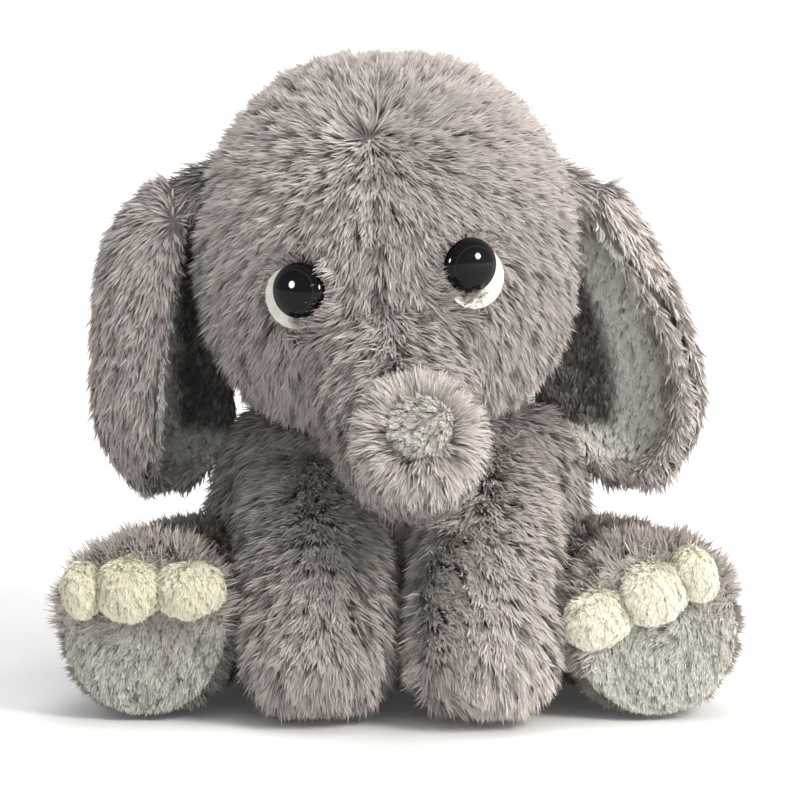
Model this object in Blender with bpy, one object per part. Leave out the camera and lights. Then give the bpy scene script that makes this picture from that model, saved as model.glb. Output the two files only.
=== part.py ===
"""Stuffed elephant in long-pile plush, seated, about 26 cm tall.

Metres, +Z up. The toy sits on the XY plane with its face towards -Y, so its own left side is at +X.
Every sewn skin is a shell a few millimetres thick, whose outer side is the middle of the pile, with its
filling as a separate solid inside it. A limb's root is a ball round its joint, seated in a hollow of the
part it is sewn to. Sizes below are in millimetres and are scaled to metres when a mesh is made.
"""

import math

import bmesh
import bpy
from mathutils import Matrix, Vector

MM = 0.001
GAP = 0.3  # left between neighbouring pieces
SKIN = 4.0  # fabric and the dense half of the pile
FILL_GAP = 0.8  # between a skin's inner side and its filling, measured at the corners
FILL_INSET = 2.5  # how much narrower a filling is where it fills an open end
SEGMENTS = 24  # sides of a large ring
LIMB_SEGMENTS = 18
TAIL_SEGMENTS = 12
CAP_STEPS = 3  # rings in a rounded end
FULLNESS = 0.8  # under 1 makes a rounded end fuller than a half ball

LEFT, RIGHT = 1, -1
SIDE_NAMES = {LEFT: "left", RIGHT: "right"}

# Body: height, centre y, half width and half depth of each ring, from the seat to the shoulders.
BODY_RINGS = (
    (0.0, 12, 40, 36),
    (5.0, 11, 55, 48),
    (16, 10, 68, 58),
    (34, 8, 75, 63),
    (58, 6, 76, 62),
    (82, 4, 73, 57),
    (102, 2, 65, 50),
    (114, 1, 55, 43),
)
PELLET_BAG_SIZE = (28, 34, 8)  # half sizes
PELLET_BAG_CENTRE = (0, 12, 12.8)

# Head: a turned shape about a vertical axis.
HEAD_AXIS = (-5.5, -8)
HEAD_RINGS = (
    (100, 18),
    (104, 31),
    (110, 42.5),
    (118, 54.5),
    (127, 63),
    (140, 71.5),
    (158, 76),
    (177, 77),
    (196, 74.5),
    (214, 68),
    (229, 58),
    (241, 45.5),
    (249, 31),
    (253.5, 13),
)

# Trunk: ball root, then the centre, half width and half height of each ring.
TRUNK_PIVOT = (-3, -63, 137)
TRUNK_ROOT = 34
TRUNK_RINGS = (
    ((-2, -79, 126), 29.5, 30),
    ((2, -95, 115.5), 28.5, 30),
    ((6, -110, 111.5), 27, 28),
    ((8, -121, 114), 25, 26),
    ((7.6, -128.8, 117.8), 19.5, 20),
    ((7.2, -131.8, 119.4), 14.5, 14.5),
)
PATCH_RADIUS = 14
PATCH_THICKNESS = 3.5

# Eyes: place on the face, as the offset from the head's axis and the height.
EYE_PLACES = {LEFT: (32.4, 177.5), RIGHT: (-33.5, 169)}
EYE_RADIUS = 11
EYE_DOME = 6.0
EYE_RIM = 1.2
DOME_STEPS = 5
EYE_SPAN = 8  # up and down from an eye, to find how the face slopes there
SHANK_RADIUS = 2
SHANK_LENGTH = 8.5
CUT_HEIGHT = 20  # how far an eye's cutters reach out of the face
WHITE_RADIUS = 12.5
WHITE_THICKNESS = 1.0
WHITE_DROP = 4.0
WHITE_OUTWARD = 3.0
SEAT_DEPTH = 2.0  # of the eye's flat seat, from the head's outer side
SEAT_RADIUS = 20
WASHER_RADIUS = 8
WASHER_THICKNESS = 1.5
POCKET_DEPTH = 12

# Ears: height, inner and outer reach from the middle plane, depth, centre y, and the angle at which the
# front margin of the curled section ends.
EAR_ROWS = {
    LEFT: (
        (203, 75, 89, 6, 0, -60),
        (190, 76, 98, 12, -4, -80),
        (172, 76, 106, 15, -6, -52),
        (152, 75, 114, 18, -7, -28),
        (124, 67, 121, 21, -7, -18),
        (103, 73, 119, 19, -6, -15),
        (90, 84, 112, 12, -4, -12),
        (83, 93, 105, 6, -3, -10),
    ),
    RIGHT: (
        (203, 87, 98, 6, -1, -60),
        (193, 87, 109, 13, -6, -98),
        (180, 87, 118, 18, -8, -108),
        (163, 86.5, 122, 22, -9, -104),
        (140, 80, 123, 24, -10, -84),
        (118, 75, 123, 24, -10, -76),
        (100, 76, 120, 21, -9, -70),
        (88, 84, 113, 13, -7, -56),
        (81, 93, 106, 6, -5, -40),
    ),
}
EAR_START = 130  # degrees, where the section leaves the head
EAR_ACROSS = 10
EAR_DOWN = 12
EAR_BACK = 5.0
EAR_LINING = 3.0
EAR_HINGE_HEIGHT = 198
EAR_HINGE_REACH = {LEFT: 73, RIGHT: 84}

# Front legs: ball root at the shoulder, then the rings down to the paw.
FRONT_PIVOT = {LEFT: (36, -31, 80), RIGHT: (-36, -31, 78)}
FRONT_ROOT = 26
FRONT_RINGS = {
    LEFT: (
        ((35, -54, 69), 28.5, 26),
        ((33, -77, 53), 30, 28),
        ((32.2, -92, 29), 31, 29),
    ),
    RIGHT: (
        ((-35, -52, 67), 28.5, 26),
        ((-32.5, -73, 52), 30, 28),
        ((-32, -87, 28.5), 30.5, 29),
    ),
}
PAW_BULGE = 0.9
TURNING_HOLE = 0.35  # of the root's radius: the hole the skin was turned through

# Rear legs: ball root at the hip, then the rings forward to the sole.
REAR_PIVOT = (62, 12, 35)
REAR_ROOT = 28
REAR_RINGS = (
    ((77, -14, 35), 28.5, 32),
    ((92, -42, 35), 30.5, 33.5),
    ((98, -66, 35), 31, 34),
    ((99.5, -85, 35.5), 32, 33),
)
SOLE_RADIUS = 31.5
SOLE_THICKNESS = 4.0
SOLE_BEVEL = 1.5
TOE_TURN = {LEFT: 25, RIGHT: -1}  # degrees that the row of toes slopes, rising outwards
TOE_RISE = {LEFT: 15, RIGHT: 17}  # the row's height over the sole's centre
TOE_SUNK = 0.25  # of a toe's depth, cut off flat where it is sewn to the sole
# Toes, inner to outer: across from the sole's centre, half sizes across, up and out.
TOES = (
    (-18.6, 11.9, 11.2, 9.5),
    (5.3, 11.5, 12.4, 11.0),
    (23.6, 6.3, 10.8, 9.5),
)

# How far each limb lifts, in degrees. The hollow it is seated in leaves room for that.
TRAVEL_STEPS = 2
TRUNK_TRAVEL = 20
FRONT_TRAVEL = 15
REAR_TRAVEL = 10
TAIL_TRAVEL = 45

# Tail, hanging at the back.
TAIL_PIVOT = (0, 76.5, 44)
TAIL_RINGS = (
    ((0.5, 78, 38), 5, 5),
    ((2, 81, 30), 4.6, 4.6),
    ((4, 83.5, 22), 4.2, 4.2),
)
TAIL_ROOT = 5
TUFT_RINGS = (
    ((4.4, 84, 19), 4.5, 4.5),
    ((5.2, 85, 14), 6.5, 6),
    ((5.8, 85.6, 8.5), 6, 5.6),
)

FUR_GREY = (0.29, 0.27, 0.27, 1)
LINING_GREY = (0.42, 0.43, 0.40, 1)
CREAM = (0.80, 0.77, 0.62, 1)
FILL_WHITE = (0.85, 0.85, 0.85, 1)
PELLET_WHITE = (0.70, 0.70, 0.66, 1)
BLACK = (0.004, 0.004, 0.005, 1)
FELT_WHITE = (0.78, 0.78, 0.72, 1)
WASHER_WHITE = (0.75, 0.75, 0.75, 1)


def clear_scene():
    """Removes whatever the file started with."""
    for thing in list(bpy.data.objects):
        bpy.data.objects.remove(thing, do_unlink=True)


def material(name, colour, roughness):
    """A plain finish for one piece."""
    finish = bpy.data.materials.new(name)
    finish.use_nodes = True
    shader = finish.node_tree.nodes["Principled BSDF"]
    shader.inputs["Base Color"].default_value = colour
    shader.inputs["Roughness"].default_value = roughness
    shader.inputs["Metallic"].default_value = 0.0
    finish.diffuse_color = colour
    return finish


def frame_along(axis):
    """Turns +Z to an axis, with +X kept as near to the world's X as it can be."""
    axis = Vector(axis).normalized()
    side = Vector((1, 0, 0))
    side = (side - side.dot(axis) * axis).normalized()
    return Matrix((side, axis.cross(side), axis)).transposed().to_4x4()


def add_ring(bm, centre, axis, half_width, half_depth, segments):
    """Adds one elliptical ring and returns its edges."""
    place = Matrix.Translation(centre) @ frame_along(axis)
    shape = Matrix.Diagonal((half_width, half_depth, 1, 1))
    made = bmesh.ops.create_circle(bm, segments=segments, radius=1, matrix=place @ shape)
    return list({edge for vert in made["verts"] for edge in vert.link_edges})


def loft(rings, segments, close_start=True, close_end=True):
    """A surface through rings given as (centre, axis, half width, half depth)."""
    bm = bmesh.new()
    loops = [add_ring(bm, *ring, segments) for ring in rings]
    for lower, upper in zip(loops, loops[1:]):
        bmesh.ops.bridge_loops(bm, edges=lower + upper)
    if close_start:
        bmesh.ops.contextual_create(bm, geom=loops[0])
    if close_end:
        bmesh.ops.contextual_create(bm, geom=loops[-1])
    bmesh.ops.recalc_face_normals(bm, faces=bm.faces)
    return bm


def with_axes(rings):
    """Gives each (centre, half width, half depth) the direction of the path through it."""
    places = [Vector(ring[0]) for ring in rings]
    last = len(rings) - 1
    found = []
    for index, (centre, half_width, half_depth) in enumerate(rings):
        axis = places[min(index + 1, last)] - places[max(index - 1, 0)]
        found.append((Vector(centre), axis.normalized(), half_width, half_depth))
    return found


def ball_root(pivot, radius, towards, opening=0.0):
    """Rings of the ball round a joint, from its far pole (or a hole there) to its middle."""
    axis = (Vector(towards) - Vector(pivot)).normalized()
    first = math.acos(max(opening, 0.2))
    steps = CAP_STEPS + 1
    rings = []
    for step in range(steps):
        angle = first * (1 - step / steps)
        centre = Vector(pivot) - axis * radius * math.sin(angle)
        rings.append((centre, axis, radius * math.cos(angle), radius * math.cos(angle)))
    return rings + [(Vector(pivot), axis, radius, radius)]


def round_end(ring, bulge):
    """Rings that close a tube with a rounded end."""
    centre, axis, half_width, half_depth = ring
    reach = bulge * (half_width + half_depth) / 2
    rings = []
    for step in range(1, CAP_STEPS + 1):
        angle = math.radians(82) * step / CAP_STEPS
        size = math.cos(angle) ** FULLNESS
        place = centre + axis * reach * math.sin(angle)
        rings.append((place, axis, half_width * size, half_depth * size))
    return rings


def add_object(name, bm, finish=None, pivot=(0, 0, 0)):
    """Makes a mesh object from millimetres, with its origin at the pivot."""
    bmesh.ops.translate(bm, verts=bm.verts, vec=-Vector(pivot))
    bmesh.ops.scale(bm, verts=bm.verts, vec=(MM, MM, MM))
    mesh = bpy.data.meshes.new(name)
    bm.to_mesh(mesh)
    bm.free()
    mesh.shade_smooth()
    mesh.set_sharp_from_angle(angle=math.radians(50))
    if finish:
        mesh.materials.append(finish)
    thing = bpy.data.objects.new(name, mesh)
    thing.location = Vector(pivot) * MM
    bpy.context.scene.collection.objects.link(thing)
    return thing


def thicken(thing, thickness, offset=-1.0):
    """Turns a surface into a shell."""
    solid = thing.modifiers.new("Thickness", "SOLIDIFY")
    solid.thickness = thickness * MM
    solid.offset = offset
    solid.use_even_offset = True


def push(thing, distance):
    """Moves a surface outwards along its normals, or inwards when negative."""
    move = thing.modifiers.new("Push", "DISPLACE")
    move.strength = distance * MM
    move.mid_level = 0.0


def as_cutter(thing):
    """Marks a helper that only cuts others."""
    thing.hide_render = True
    thing.display_type = "WIRE"
    return thing


def cut(thing, cutter):
    """Cuts one solid with another."""
    difference = thing.modifiers.new("Cut", "BOOLEAN")
    difference.operation = "DIFFERENCE"
    difference.solver = "MANIFOLD"
    difference.object = cutter


def skin_and_fill(name, rings, segments, finish, fill_finish, pivot=(0, 0, 0), open_start=False):
    """A sewn skin that is open at one end, and the filling inside it."""
    bm = loft(rings, segments, close_start=not open_start, close_end=open_start)
    skin = add_object(name + "_skin", bm, finish, pivot)
    thicken(skin, SKIN)
    if not open_start:
        centre, axis, half_width, half_depth = rings[-1]
        rings = rings[:-1] + [(centre, axis, half_width - FILL_INSET, half_depth - FILL_INSET)]
    fill = add_object(name + "_stuffing", loft(rings, segments), fill_finish, pivot)
    push(fill, -(SKIN + FILL_GAP))
    return skin, fill


def limb_cutter(name, rings, segments, pivot, axis, travel):
    """The hollow that a limb's root moves in: one smooth hull round the limb over its travel."""
    bm = bmesh.new()
    for step in range(TRAVEL_STEPS + 1):
        limb = loft(rings, segments)
        turn = Matrix.Rotation(math.radians(travel) * step / TRAVEL_STEPS, 4, Vector(axis))
        bmesh.ops.rotate(limb, verts=limb.verts, cent=Vector(pivot), matrix=turn)
        for vert in limb.verts:
            bm.verts.new(vert.co)
        limb.free()
    hull = bmesh.ops.convex_hull(bm, input=bm.verts)
    spare = [part for part in hull["geom_interior"] if isinstance(part, bmesh.types.BMVert)]
    bmesh.ops.delete(bm, geom=spare, context="VERTS")
    bmesh.ops.recalc_face_normals(bm, faces=bm.faces)
    cutter = as_cutter(add_object(name, bm, pivot=pivot))
    push(cutter, FILL_GAP)
    return cutter


def build_body(fur, fill, pellets):
    """The body's skin, its filling and the bag of pellets that weights the seat."""
    rings = [(Vector((0, y, z)), Vector((0, 0, 1)), wide, deep) for z, y, wide, deep in BODY_RINGS]
    skin, filling = skin_and_fill("body", rings, SEGMENTS, fur, fill)
    bag = bmesh.new()
    size = Matrix.Diagonal((*PELLET_BAG_SIZE, 1))
    place = Matrix.Translation(PELLET_BAG_CENTRE)
    bmesh.ops.create_uvsphere(bag, u_segments=16, v_segments=8, radius=1, matrix=place @ size)
    pocket = as_cutter(add_object("pellet_pocket", bag.copy()))
    push(pocket, FILL_GAP)
    add_object("pellet_bag", bag, pellets)
    cut(filling, pocket)
    return skin, filling


def head_rings(grow=0.0):
    """The head's rings, bottom to top."""
    up = Vector((0, 0, 1))
    return [(Vector((*HEAD_AXIS, z)), up, r + grow, r + grow) for z, r in HEAD_RINGS]


def build_head(fur, fill):
    """The head's skin, open at the neck, and its filling."""
    pivot = (*HEAD_AXIS, HEAD_RINGS[0][0])
    return skin_and_fill("head", head_rings(), SEGMENTS, fur, fill, pivot, open_start=True)


def disc(radius, thickness, place, bevel, segments=LIMB_SEGMENTS):
    """A flat round pad standing on its base plane, with its front edge rounded."""
    bm = bmesh.new()
    bmesh.ops.create_cone(
        bm,
        cap_ends=True,
        segments=segments,
        radius1=radius,
        radius2=radius,
        depth=thickness,
        matrix=Matrix.Translation((0, 0, thickness / 2)),
    )
    front = [edge for edge in bm.edges if min(vert.co.z for vert in edge.verts) > thickness * 0.9]
    if bevel:
        bmesh.ops.bevel(
            bm, geom=front, offset=bevel, segments=2, affect="EDGES", profile=0.5, material=-1
        )
    bm.transform(place)
    return bm


def plane_at(centre, axis):
    """A plane through a point, facing along an axis."""
    return Matrix.Translation(centre) @ frame_along(axis)


def build_trunk(fur, fill, lining):
    """The trunk, its filling and the short-pile patch that closes its tip."""
    rings = ball_root(TRUNK_PIVOT, TRUNK_ROOT, TRUNK_RINGS[0][0])
    rings += with_axes(TRUNK_RINGS)
    skin_and_fill("trunk", rings, LIMB_SEGMENTS, fur, fill, TRUNK_PIVOT)
    centre, axis, _, _ = rings[-1]
    patch = disc(PATCH_RADIUS, PATCH_THICKNESS, plane_at(centre + axis * GAP, axis), PATCH_THICKNESS / 2)
    add_object("trunk_tip_patch", patch, lining, TRUNK_PIVOT)
    return limb_cutter("trunk_hollow", rings, LIMB_SEGMENTS, TRUNK_PIVOT, (-1, 0, 0), TRUNK_TRAVEL)


def head_radius(height):
    """The head's radius at a height, between its rings."""
    for (low, small), (high, large) in zip(HEAD_RINGS, HEAD_RINGS[1:]):
        if low <= height <= high:
            return small + (large - small) * (height - low) / (high - low)
    raise ValueError(f"the head has no ring round height {height}")


def eye_plane(side):
    """The flat seat that an eye and its white lie on, with +Z out of the face and +Y up."""
    across, height = EYE_PLACES[side]
    radius = head_radius(height)
    out = Vector((across, -math.sqrt(radius**2 - across**2), 0))
    rise = (head_radius(height - EYE_SPAN) - head_radius(height + EYE_SPAN)) / (2 * EYE_SPAN)
    normal = (out.normalized() + Vector((0, 0, rise))).normalized()
    place = Vector((*HEAD_AXIS, height)) + out - normal * SEAT_DEPTH
    turned = frame_along(normal)
    return Matrix.Translation(place) @ turned


def build_eye(side, head_skin, head_fill, black, felt, washer):
    """One safety eye: domed front and shank, the felt white behind it and the washer inside."""
    word = SIDE_NAMES[side]
    plane = eye_plane(side)
    pivot = (*HEAD_AXIS, HEAD_RINGS[0][0])
    shank_place = plane @ Matrix.Translation((0, 0, -SHANK_LENGTH - GAP))
    seat = as_cutter(add_object(f"eye_seat_{word}", disc(SEAT_RADIUS, CUT_HEIGHT, plane, 0)))
    cut(head_skin, seat)
    hole = as_cutter(
        add_object(f"shank_hole_{word}", disc(SHANK_RADIUS + GAP, CUT_HEIGHT, shank_place, 0, segments=12))
    )
    cut(head_skin, hole)
    pocket_place = plane @ Matrix.Translation((0, 0, -POCKET_DEPTH))
    pocket = as_cutter(
        add_object(f"washer_pocket_{word}", disc(WASHER_RADIUS + 1, POCKET_DEPTH, pocket_place, 0))
    )
    cut(head_fill, pocket)

    offset = Matrix.Translation((side * WHITE_OUTWARD, -WHITE_DROP, GAP))
    sheet = disc(WHITE_RADIUS, WHITE_THICKNESS, plane @ offset, 0)
    white = add_object(f"eye_white_{word}", sheet, felt, pivot)
    cut(white, hole)

    front = GAP * 2 + WHITE_THICKNESS
    profile = [(0, -SHANK_LENGTH), (SHANK_RADIUS, -SHANK_LENGTH), (SHANK_RADIUS, front), (EYE_RADIUS, front)]
    for step in range(DOME_STEPS):
        angle = math.radians(90) * step / DOME_STEPS
        reach = front + EYE_RIM + EYE_DOME * math.sin(angle)
        profile.append((EYE_RADIUS * math.cos(angle), reach))
    profile.append((0, front + EYE_RIM + EYE_DOME))
    add_object(f"eye_{word}", turned_solid(profile, plane), black, pivot)

    washer_place = plane @ Matrix.Translation((0, 0, SEAT_DEPTH - SKIN - 2 - WASHER_THICKNESS))
    plate = disc(WASHER_RADIUS, WASHER_THICKNESS, washer_place, 0)
    ring = add_object(f"eye_washer_{word}", plate, washer, pivot)
    cut(ring, hole)


def turned_solid(profile, place, segments=LIMB_SEGMENTS):
    """Turns a profile of (radius, height) about +Z and puts it in place."""
    bm = bmesh.new()
    verts = [bm.verts.new((radius, 0, height)) for radius, height in profile]
    edges = [bm.edges.new(pair) for pair in zip(verts, verts[1:])]
    bmesh.ops.spin(
        bm,
        geom=verts + edges,
        cent=(0, 0, 0),
        axis=(0, 0, 1),
        angle=math.tau,
        steps=segments,
        use_merge=True,
    )
    bmesh.ops.remove_doubles(bm, verts=bm.verts, dist=0.01)
    bmesh.ops.recalc_face_normals(bm, faces=bm.faces)
    bm.transform(place)
    return bm


def smooth_row(rows, share):
    """Reads a table of rows at a share of its length, along a Catmull-Rom curve."""
    last = len(rows) - 1
    place = share * last
    index = min(int(place), last - 1)
    t = place - index
    near = [rows[min(max(index + step, 0), last)] for step in (-1, 0, 1, 2)]
    return [
        b + 0.5 * t * (c - a + t * (2 * a - 5 * b + 4 * c - d + t * (3 * (b - c) + d - a)))
        for a, b, c, d in zip(*near)
    ]


def ear_point(side, across, down):
    """A point of the ear's middle surface: across from its root to its margin, down from its top."""
    height, inner, outer, depth, centre_y, end = smooth_row(EAR_ROWS[side], down)
    reach = (outer - inner) / (1 + math.cos(math.radians(180 - EAR_START)))
    angle = math.radians(EAR_START + (end - EAR_START) * across)
    x = outer - reach + reach * math.cos(angle)
    return Vector((side * x, centre_y + depth * math.sin(angle), height))


def build_ear(side, fur, lining):
    """One ear: the long-pile back panel and the short-pile lining, sewn together at the margin."""
    word = SIDE_NAMES[side]
    pivot = (side * EAR_HINGE_REACH[side], 0, EAR_HINGE_HEIGHT)
    bm = bmesh.new()
    bmesh.ops.create_grid(bm, x_segments=EAR_ACROSS, y_segments=EAR_DOWN, size=0.5)
    for vert in bm.verts:
        vert.co = ear_point(side, vert.co.x + 0.5, 0.5 - vert.co.y)
    outward = Vector((side, 0, 0))
    bmesh.ops.recalc_face_normals(bm, faces=bm.faces)
    if sum(face.normal.dot(outward) * face.calc_area() for face in bm.faces) < 0:
        bmesh.ops.reverse_faces(bm, faces=bm.faces)
    lined = bm.copy()
    back = add_object(f"ear_{word}_back", bm, fur, pivot)
    thicken(back, EAR_BACK, offset=1.0)
    inner = add_object(f"ear_{word}_lining", lined, lining, pivot)
    push(inner, -GAP)
    thicken(inner, EAR_LINING, offset=-1.0)


def build_front_leg(side, fur, fill):
    """One front leg: a skin with a turning hole at its root, and its filling."""
    pivot = FRONT_PIVOT[side]
    tube = with_axes(FRONT_RINGS[side])
    end = round_end(tube[-1], PAW_BULGE)
    rings = ball_root(pivot, FRONT_ROOT, FRONT_RINGS[side][0][0], TURNING_HOLE) + tube + end
    skin_and_fill(f"front_leg_{SIDE_NAMES[side]}", rings, LIMB_SEGMENTS, fur, fill, pivot, open_start=True)
    name = f"front_hollow_{SIDE_NAMES[side]}"
    return limb_cutter(name, rings, LIMB_SEGMENTS, pivot, (-1, 0, 0), FRONT_TRAVEL)


def toe(across, up, size, place):
    """One puffy toe: a half ball on the sole's plane."""
    bm = bmesh.new()
    bmesh.ops.create_uvsphere(bm, u_segments=14, v_segments=8, radius=1)
    bmesh.ops.bisect_plane(
        bm,
        geom=list(bm.verts) + list(bm.edges) + list(bm.faces),
        plane_co=(0, 0, -TOE_SUNK),
        plane_no=(0, 0, -1),
        clear_outer=True,
    )
    bmesh.ops.holes_fill(bm, edges=[edge for edge in bm.edges if edge.is_boundary])
    bmesh.ops.recalc_face_normals(bm, faces=bm.faces)
    wide, tall, deep = size
    lift = Matrix.Translation((across, up, TOE_SUNK * deep))
    bm.transform(place @ lift @ Matrix.Diagonal((wide, tall, deep, 1)))
    return bm


def build_rear_leg(side, fur, fill, lining, cream):
    """One rear leg: its skin, filling, sole and three toes."""
    word = SIDE_NAMES[side]

    def mirrored(point):
        return (side * point[0], *point[1:])

    pivot = mirrored(REAR_PIVOT)
    path = [(mirrored(centre), wide, deep) for centre, wide, deep in REAR_RINGS]
    rings = ball_root(pivot, REAR_ROOT, path[0][0]) + with_axes(path)
    skin_and_fill(f"rear_leg_{word}", rings, LIMB_SEGMENTS, fur, fill, pivot)
    centre, axis, _, _ = rings[-1]
    sole_plane = plane_at(centre + axis * GAP, axis)
    add_object(
        f"rear_leg_{word}_sole",
        disc(SOLE_RADIUS, SOLE_THICKNESS, sole_plane, SOLE_BEVEL, SEGMENTS),
        lining,
        pivot,
    )
    slope = Matrix.Rotation(math.radians(side * TOE_TURN[side]), 4, "Z")
    toe_plane = plane_at(centre + axis * (2 * GAP + SOLE_THICKNESS), axis) @ slope
    for number, (across, *size) in enumerate(TOES, start=1):
        shape = toe(side * across, TOE_RISE[side], size, toe_plane)
        add_object(f"rear_leg_{word}_toe_{number}", shape, cream, pivot)
    run = path[-1][0]
    hinge = Vector((run[1] - pivot[1], pivot[0] - run[0], 0)).normalized()
    return limb_cutter(f"rear_hollow_{word}", rings, LIMB_SEGMENTS, pivot, hinge, REAR_TRAVEL)


def build_tail(fur):
    """The tail and the tuft at its end."""
    tube = with_axes(TAIL_RINGS)
    rings = ball_root(TAIL_PIVOT, TAIL_ROOT, TAIL_RINGS[0][0]) + tube
    add_object("tail_skin", loft(rings, TAIL_SEGMENTS), fur, TAIL_PIVOT)
    tuft = with_axes(TUFT_RINGS)
    add_object("tail_tuft", loft(tuft + round_end(tuft[-1], 1.0), TAIL_SEGMENTS), fur, TAIL_PIVOT)
    return limb_cutter("tail_hollow", rings, TAIL_SEGMENTS, TAIL_PIVOT, (1, 0, 0), TAIL_TRAVEL)


def main():
    """Builds every piece, then seats each limb in what it is sewn to."""
    clear_scene()
    fur = material("plush_long_grey", FUR_GREY, 0.95)
    lining = material("plush_short_silver", LINING_GREY, 0.9)
    cream = material("plush_short_cream", CREAM, 0.9)
    fill = material("polyester_filling", FILL_WHITE, 1.0)
    pellets = material("pellet_bag_cloth", PELLET_WHITE, 0.9)
    black = material("eye_black", BLACK, 0.08)
    felt = material("eye_felt", FELT_WHITE, 0.9)
    washer = material("washer_plastic", WASHER_WHITE, 0.5)

    body_skin, body_fill = build_body(fur, fill, pellets)
    head_skin, head_fill = build_head(fur, fill)
    trunk_hollow = build_trunk(fur, fill, lining)
    for thing in (head_skin, head_fill, body_skin, body_fill):
        cut(thing, trunk_hollow)
    head_hollow = as_cutter(add_object("head_hollow", loft(head_rings(), SEGMENTS)))
    push(head_hollow, FILL_GAP)
    for thing in (body_skin, body_fill):
        cut(thing, head_hollow)
    tail_hollow = build_tail(fur)
    cut(body_skin, tail_hollow)
    for side in (LEFT, RIGHT):
        build_eye(side, head_skin, head_fill, black, felt, washer)
        build_ear(side, fur, lining)
        front_hollow = build_front_leg(side, fur, fill)
        rear_hollow = build_rear_leg(side, fur, fill, lining, cream)
        for thing in (body_skin, body_fill):
            cut(thing, front_hollow)
            cut(thing, rear_hollow)


main()
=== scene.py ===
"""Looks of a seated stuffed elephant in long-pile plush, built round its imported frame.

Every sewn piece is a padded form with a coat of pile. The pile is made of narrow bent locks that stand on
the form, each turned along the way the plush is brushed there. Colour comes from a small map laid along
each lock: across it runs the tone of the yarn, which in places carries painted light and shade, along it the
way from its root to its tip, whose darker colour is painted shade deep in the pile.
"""

from __future__ import annotations

import logging
import math
from dataclasses import dataclass, field, replace
from enum import Enum
from typing import Callable, Iterable, Sequence

import bmesh
import bpy
import numpy as np
from mathutils import Matrix, Vector, noise
from mathutils.bvhtree import BVHTree


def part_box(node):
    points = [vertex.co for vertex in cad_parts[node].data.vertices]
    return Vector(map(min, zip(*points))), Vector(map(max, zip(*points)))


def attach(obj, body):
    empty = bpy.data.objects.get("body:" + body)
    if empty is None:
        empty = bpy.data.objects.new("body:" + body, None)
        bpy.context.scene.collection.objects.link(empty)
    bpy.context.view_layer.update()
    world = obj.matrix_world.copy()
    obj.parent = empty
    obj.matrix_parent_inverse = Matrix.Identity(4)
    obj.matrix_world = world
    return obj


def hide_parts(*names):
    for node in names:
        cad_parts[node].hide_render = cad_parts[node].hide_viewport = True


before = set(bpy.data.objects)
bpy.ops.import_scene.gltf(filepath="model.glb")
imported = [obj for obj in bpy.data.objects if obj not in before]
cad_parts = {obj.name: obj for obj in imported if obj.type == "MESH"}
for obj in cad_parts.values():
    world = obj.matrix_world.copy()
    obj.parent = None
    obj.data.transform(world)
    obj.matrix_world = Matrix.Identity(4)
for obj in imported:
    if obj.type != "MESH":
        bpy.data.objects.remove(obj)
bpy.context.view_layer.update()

LOG = logging.getLogger("elephant")
MM = 0.001
MAP = "OFBake"  # the pile's map: tone across, root to tip upwards
PRESSURE = 4.0  # of the filling on a skin, while a form is puffed up
SIM_FRAMES = 20

Array = np.ndarray
Colour = tuple[float, float, float, float]
Ring = tuple[Vector, Vector, float, float]


class Side(Enum):
    """The toy's own left and right."""

    LEFT = 1
    RIGHT = -1

    @property
    def word(self) -> str:
        """The side's name in the names of pieces."""
        return self.name.lower()


class Skin(Enum):
    """The plushes that the toy is cut from, by the frame's material slots."""

    LONG_GREY = "plush_long_grey"
    SHORT_SILVER = "plush_short_silver"
    SHORT_CREAM = "plush_short_cream"


# ---------------------------------------------------------------- shader nodes


class Num:
    """A number in a node tree. Arithmetic on it adds Math nodes."""

    def __init__(self, nodes: "Nodes", socket: bpy.types.NodeSocket) -> None:
        """Wraps a socket.

        Args:
            nodes: The tree the socket is in.
            socket: An output that gives a number.
        """
        self.nodes = nodes
        self.socket = socket

    def _math(self, operation: str, first: "Num | float", second: "Num | float") -> "Num":
        """One Math node.

        Args:
            operation: The node's operation.
            first: Its first value.
            second: Its second value.

        Returns:
            The node's result.
        """
        made = self.nodes.add("ShaderNodeMath", {"operation": operation}, {0: first, 1: second})
        return Num(self.nodes, made.outputs[0])

    def __add__(self, other: "Num | float") -> "Num":
        """self + other."""
        return self._math("ADD", self, other)

    __radd__ = __add__

    def __sub__(self, other: "Num | float") -> "Num":
        """self - other."""
        return self._math("SUBTRACT", self, other)

    def __rsub__(self, other: float) -> "Num":
        """other - self."""
        return self._math("SUBTRACT", other, self)

    def __mul__(self, other: "Num | float") -> "Num":
        """self * other."""
        return self._math("MULTIPLY", self, other)

    __rmul__ = __mul__

    def __truediv__(self, other: "Num | float") -> "Num":
        """self / other."""
        return self._math("DIVIDE", self, other)

    def __pow__(self, other: "Num | float") -> "Num":
        """self ** other."""
        return self._math("POWER", self, other)

    def ramp(self, low: float, high: float, start: float = 0.0, end: float = 1.0) -> "Num":
        """A smooth step from start at low to end at high.

        Args:
            low: Where the step begins.
            high: Where it ends.
            start: Its value before low.
            end: Its value after high.

        Returns:
            The stepped number.
        """
        made = self.nodes.add(
            "ShaderNodeMapRange",
            {"interpolation_type": "SMOOTHSTEP"},
            {"Value": self, "From Min": low, "From Max": high, "To Min": start, "To Max": end},
        )
        return Num(self.nodes, made.outputs[0])


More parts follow.
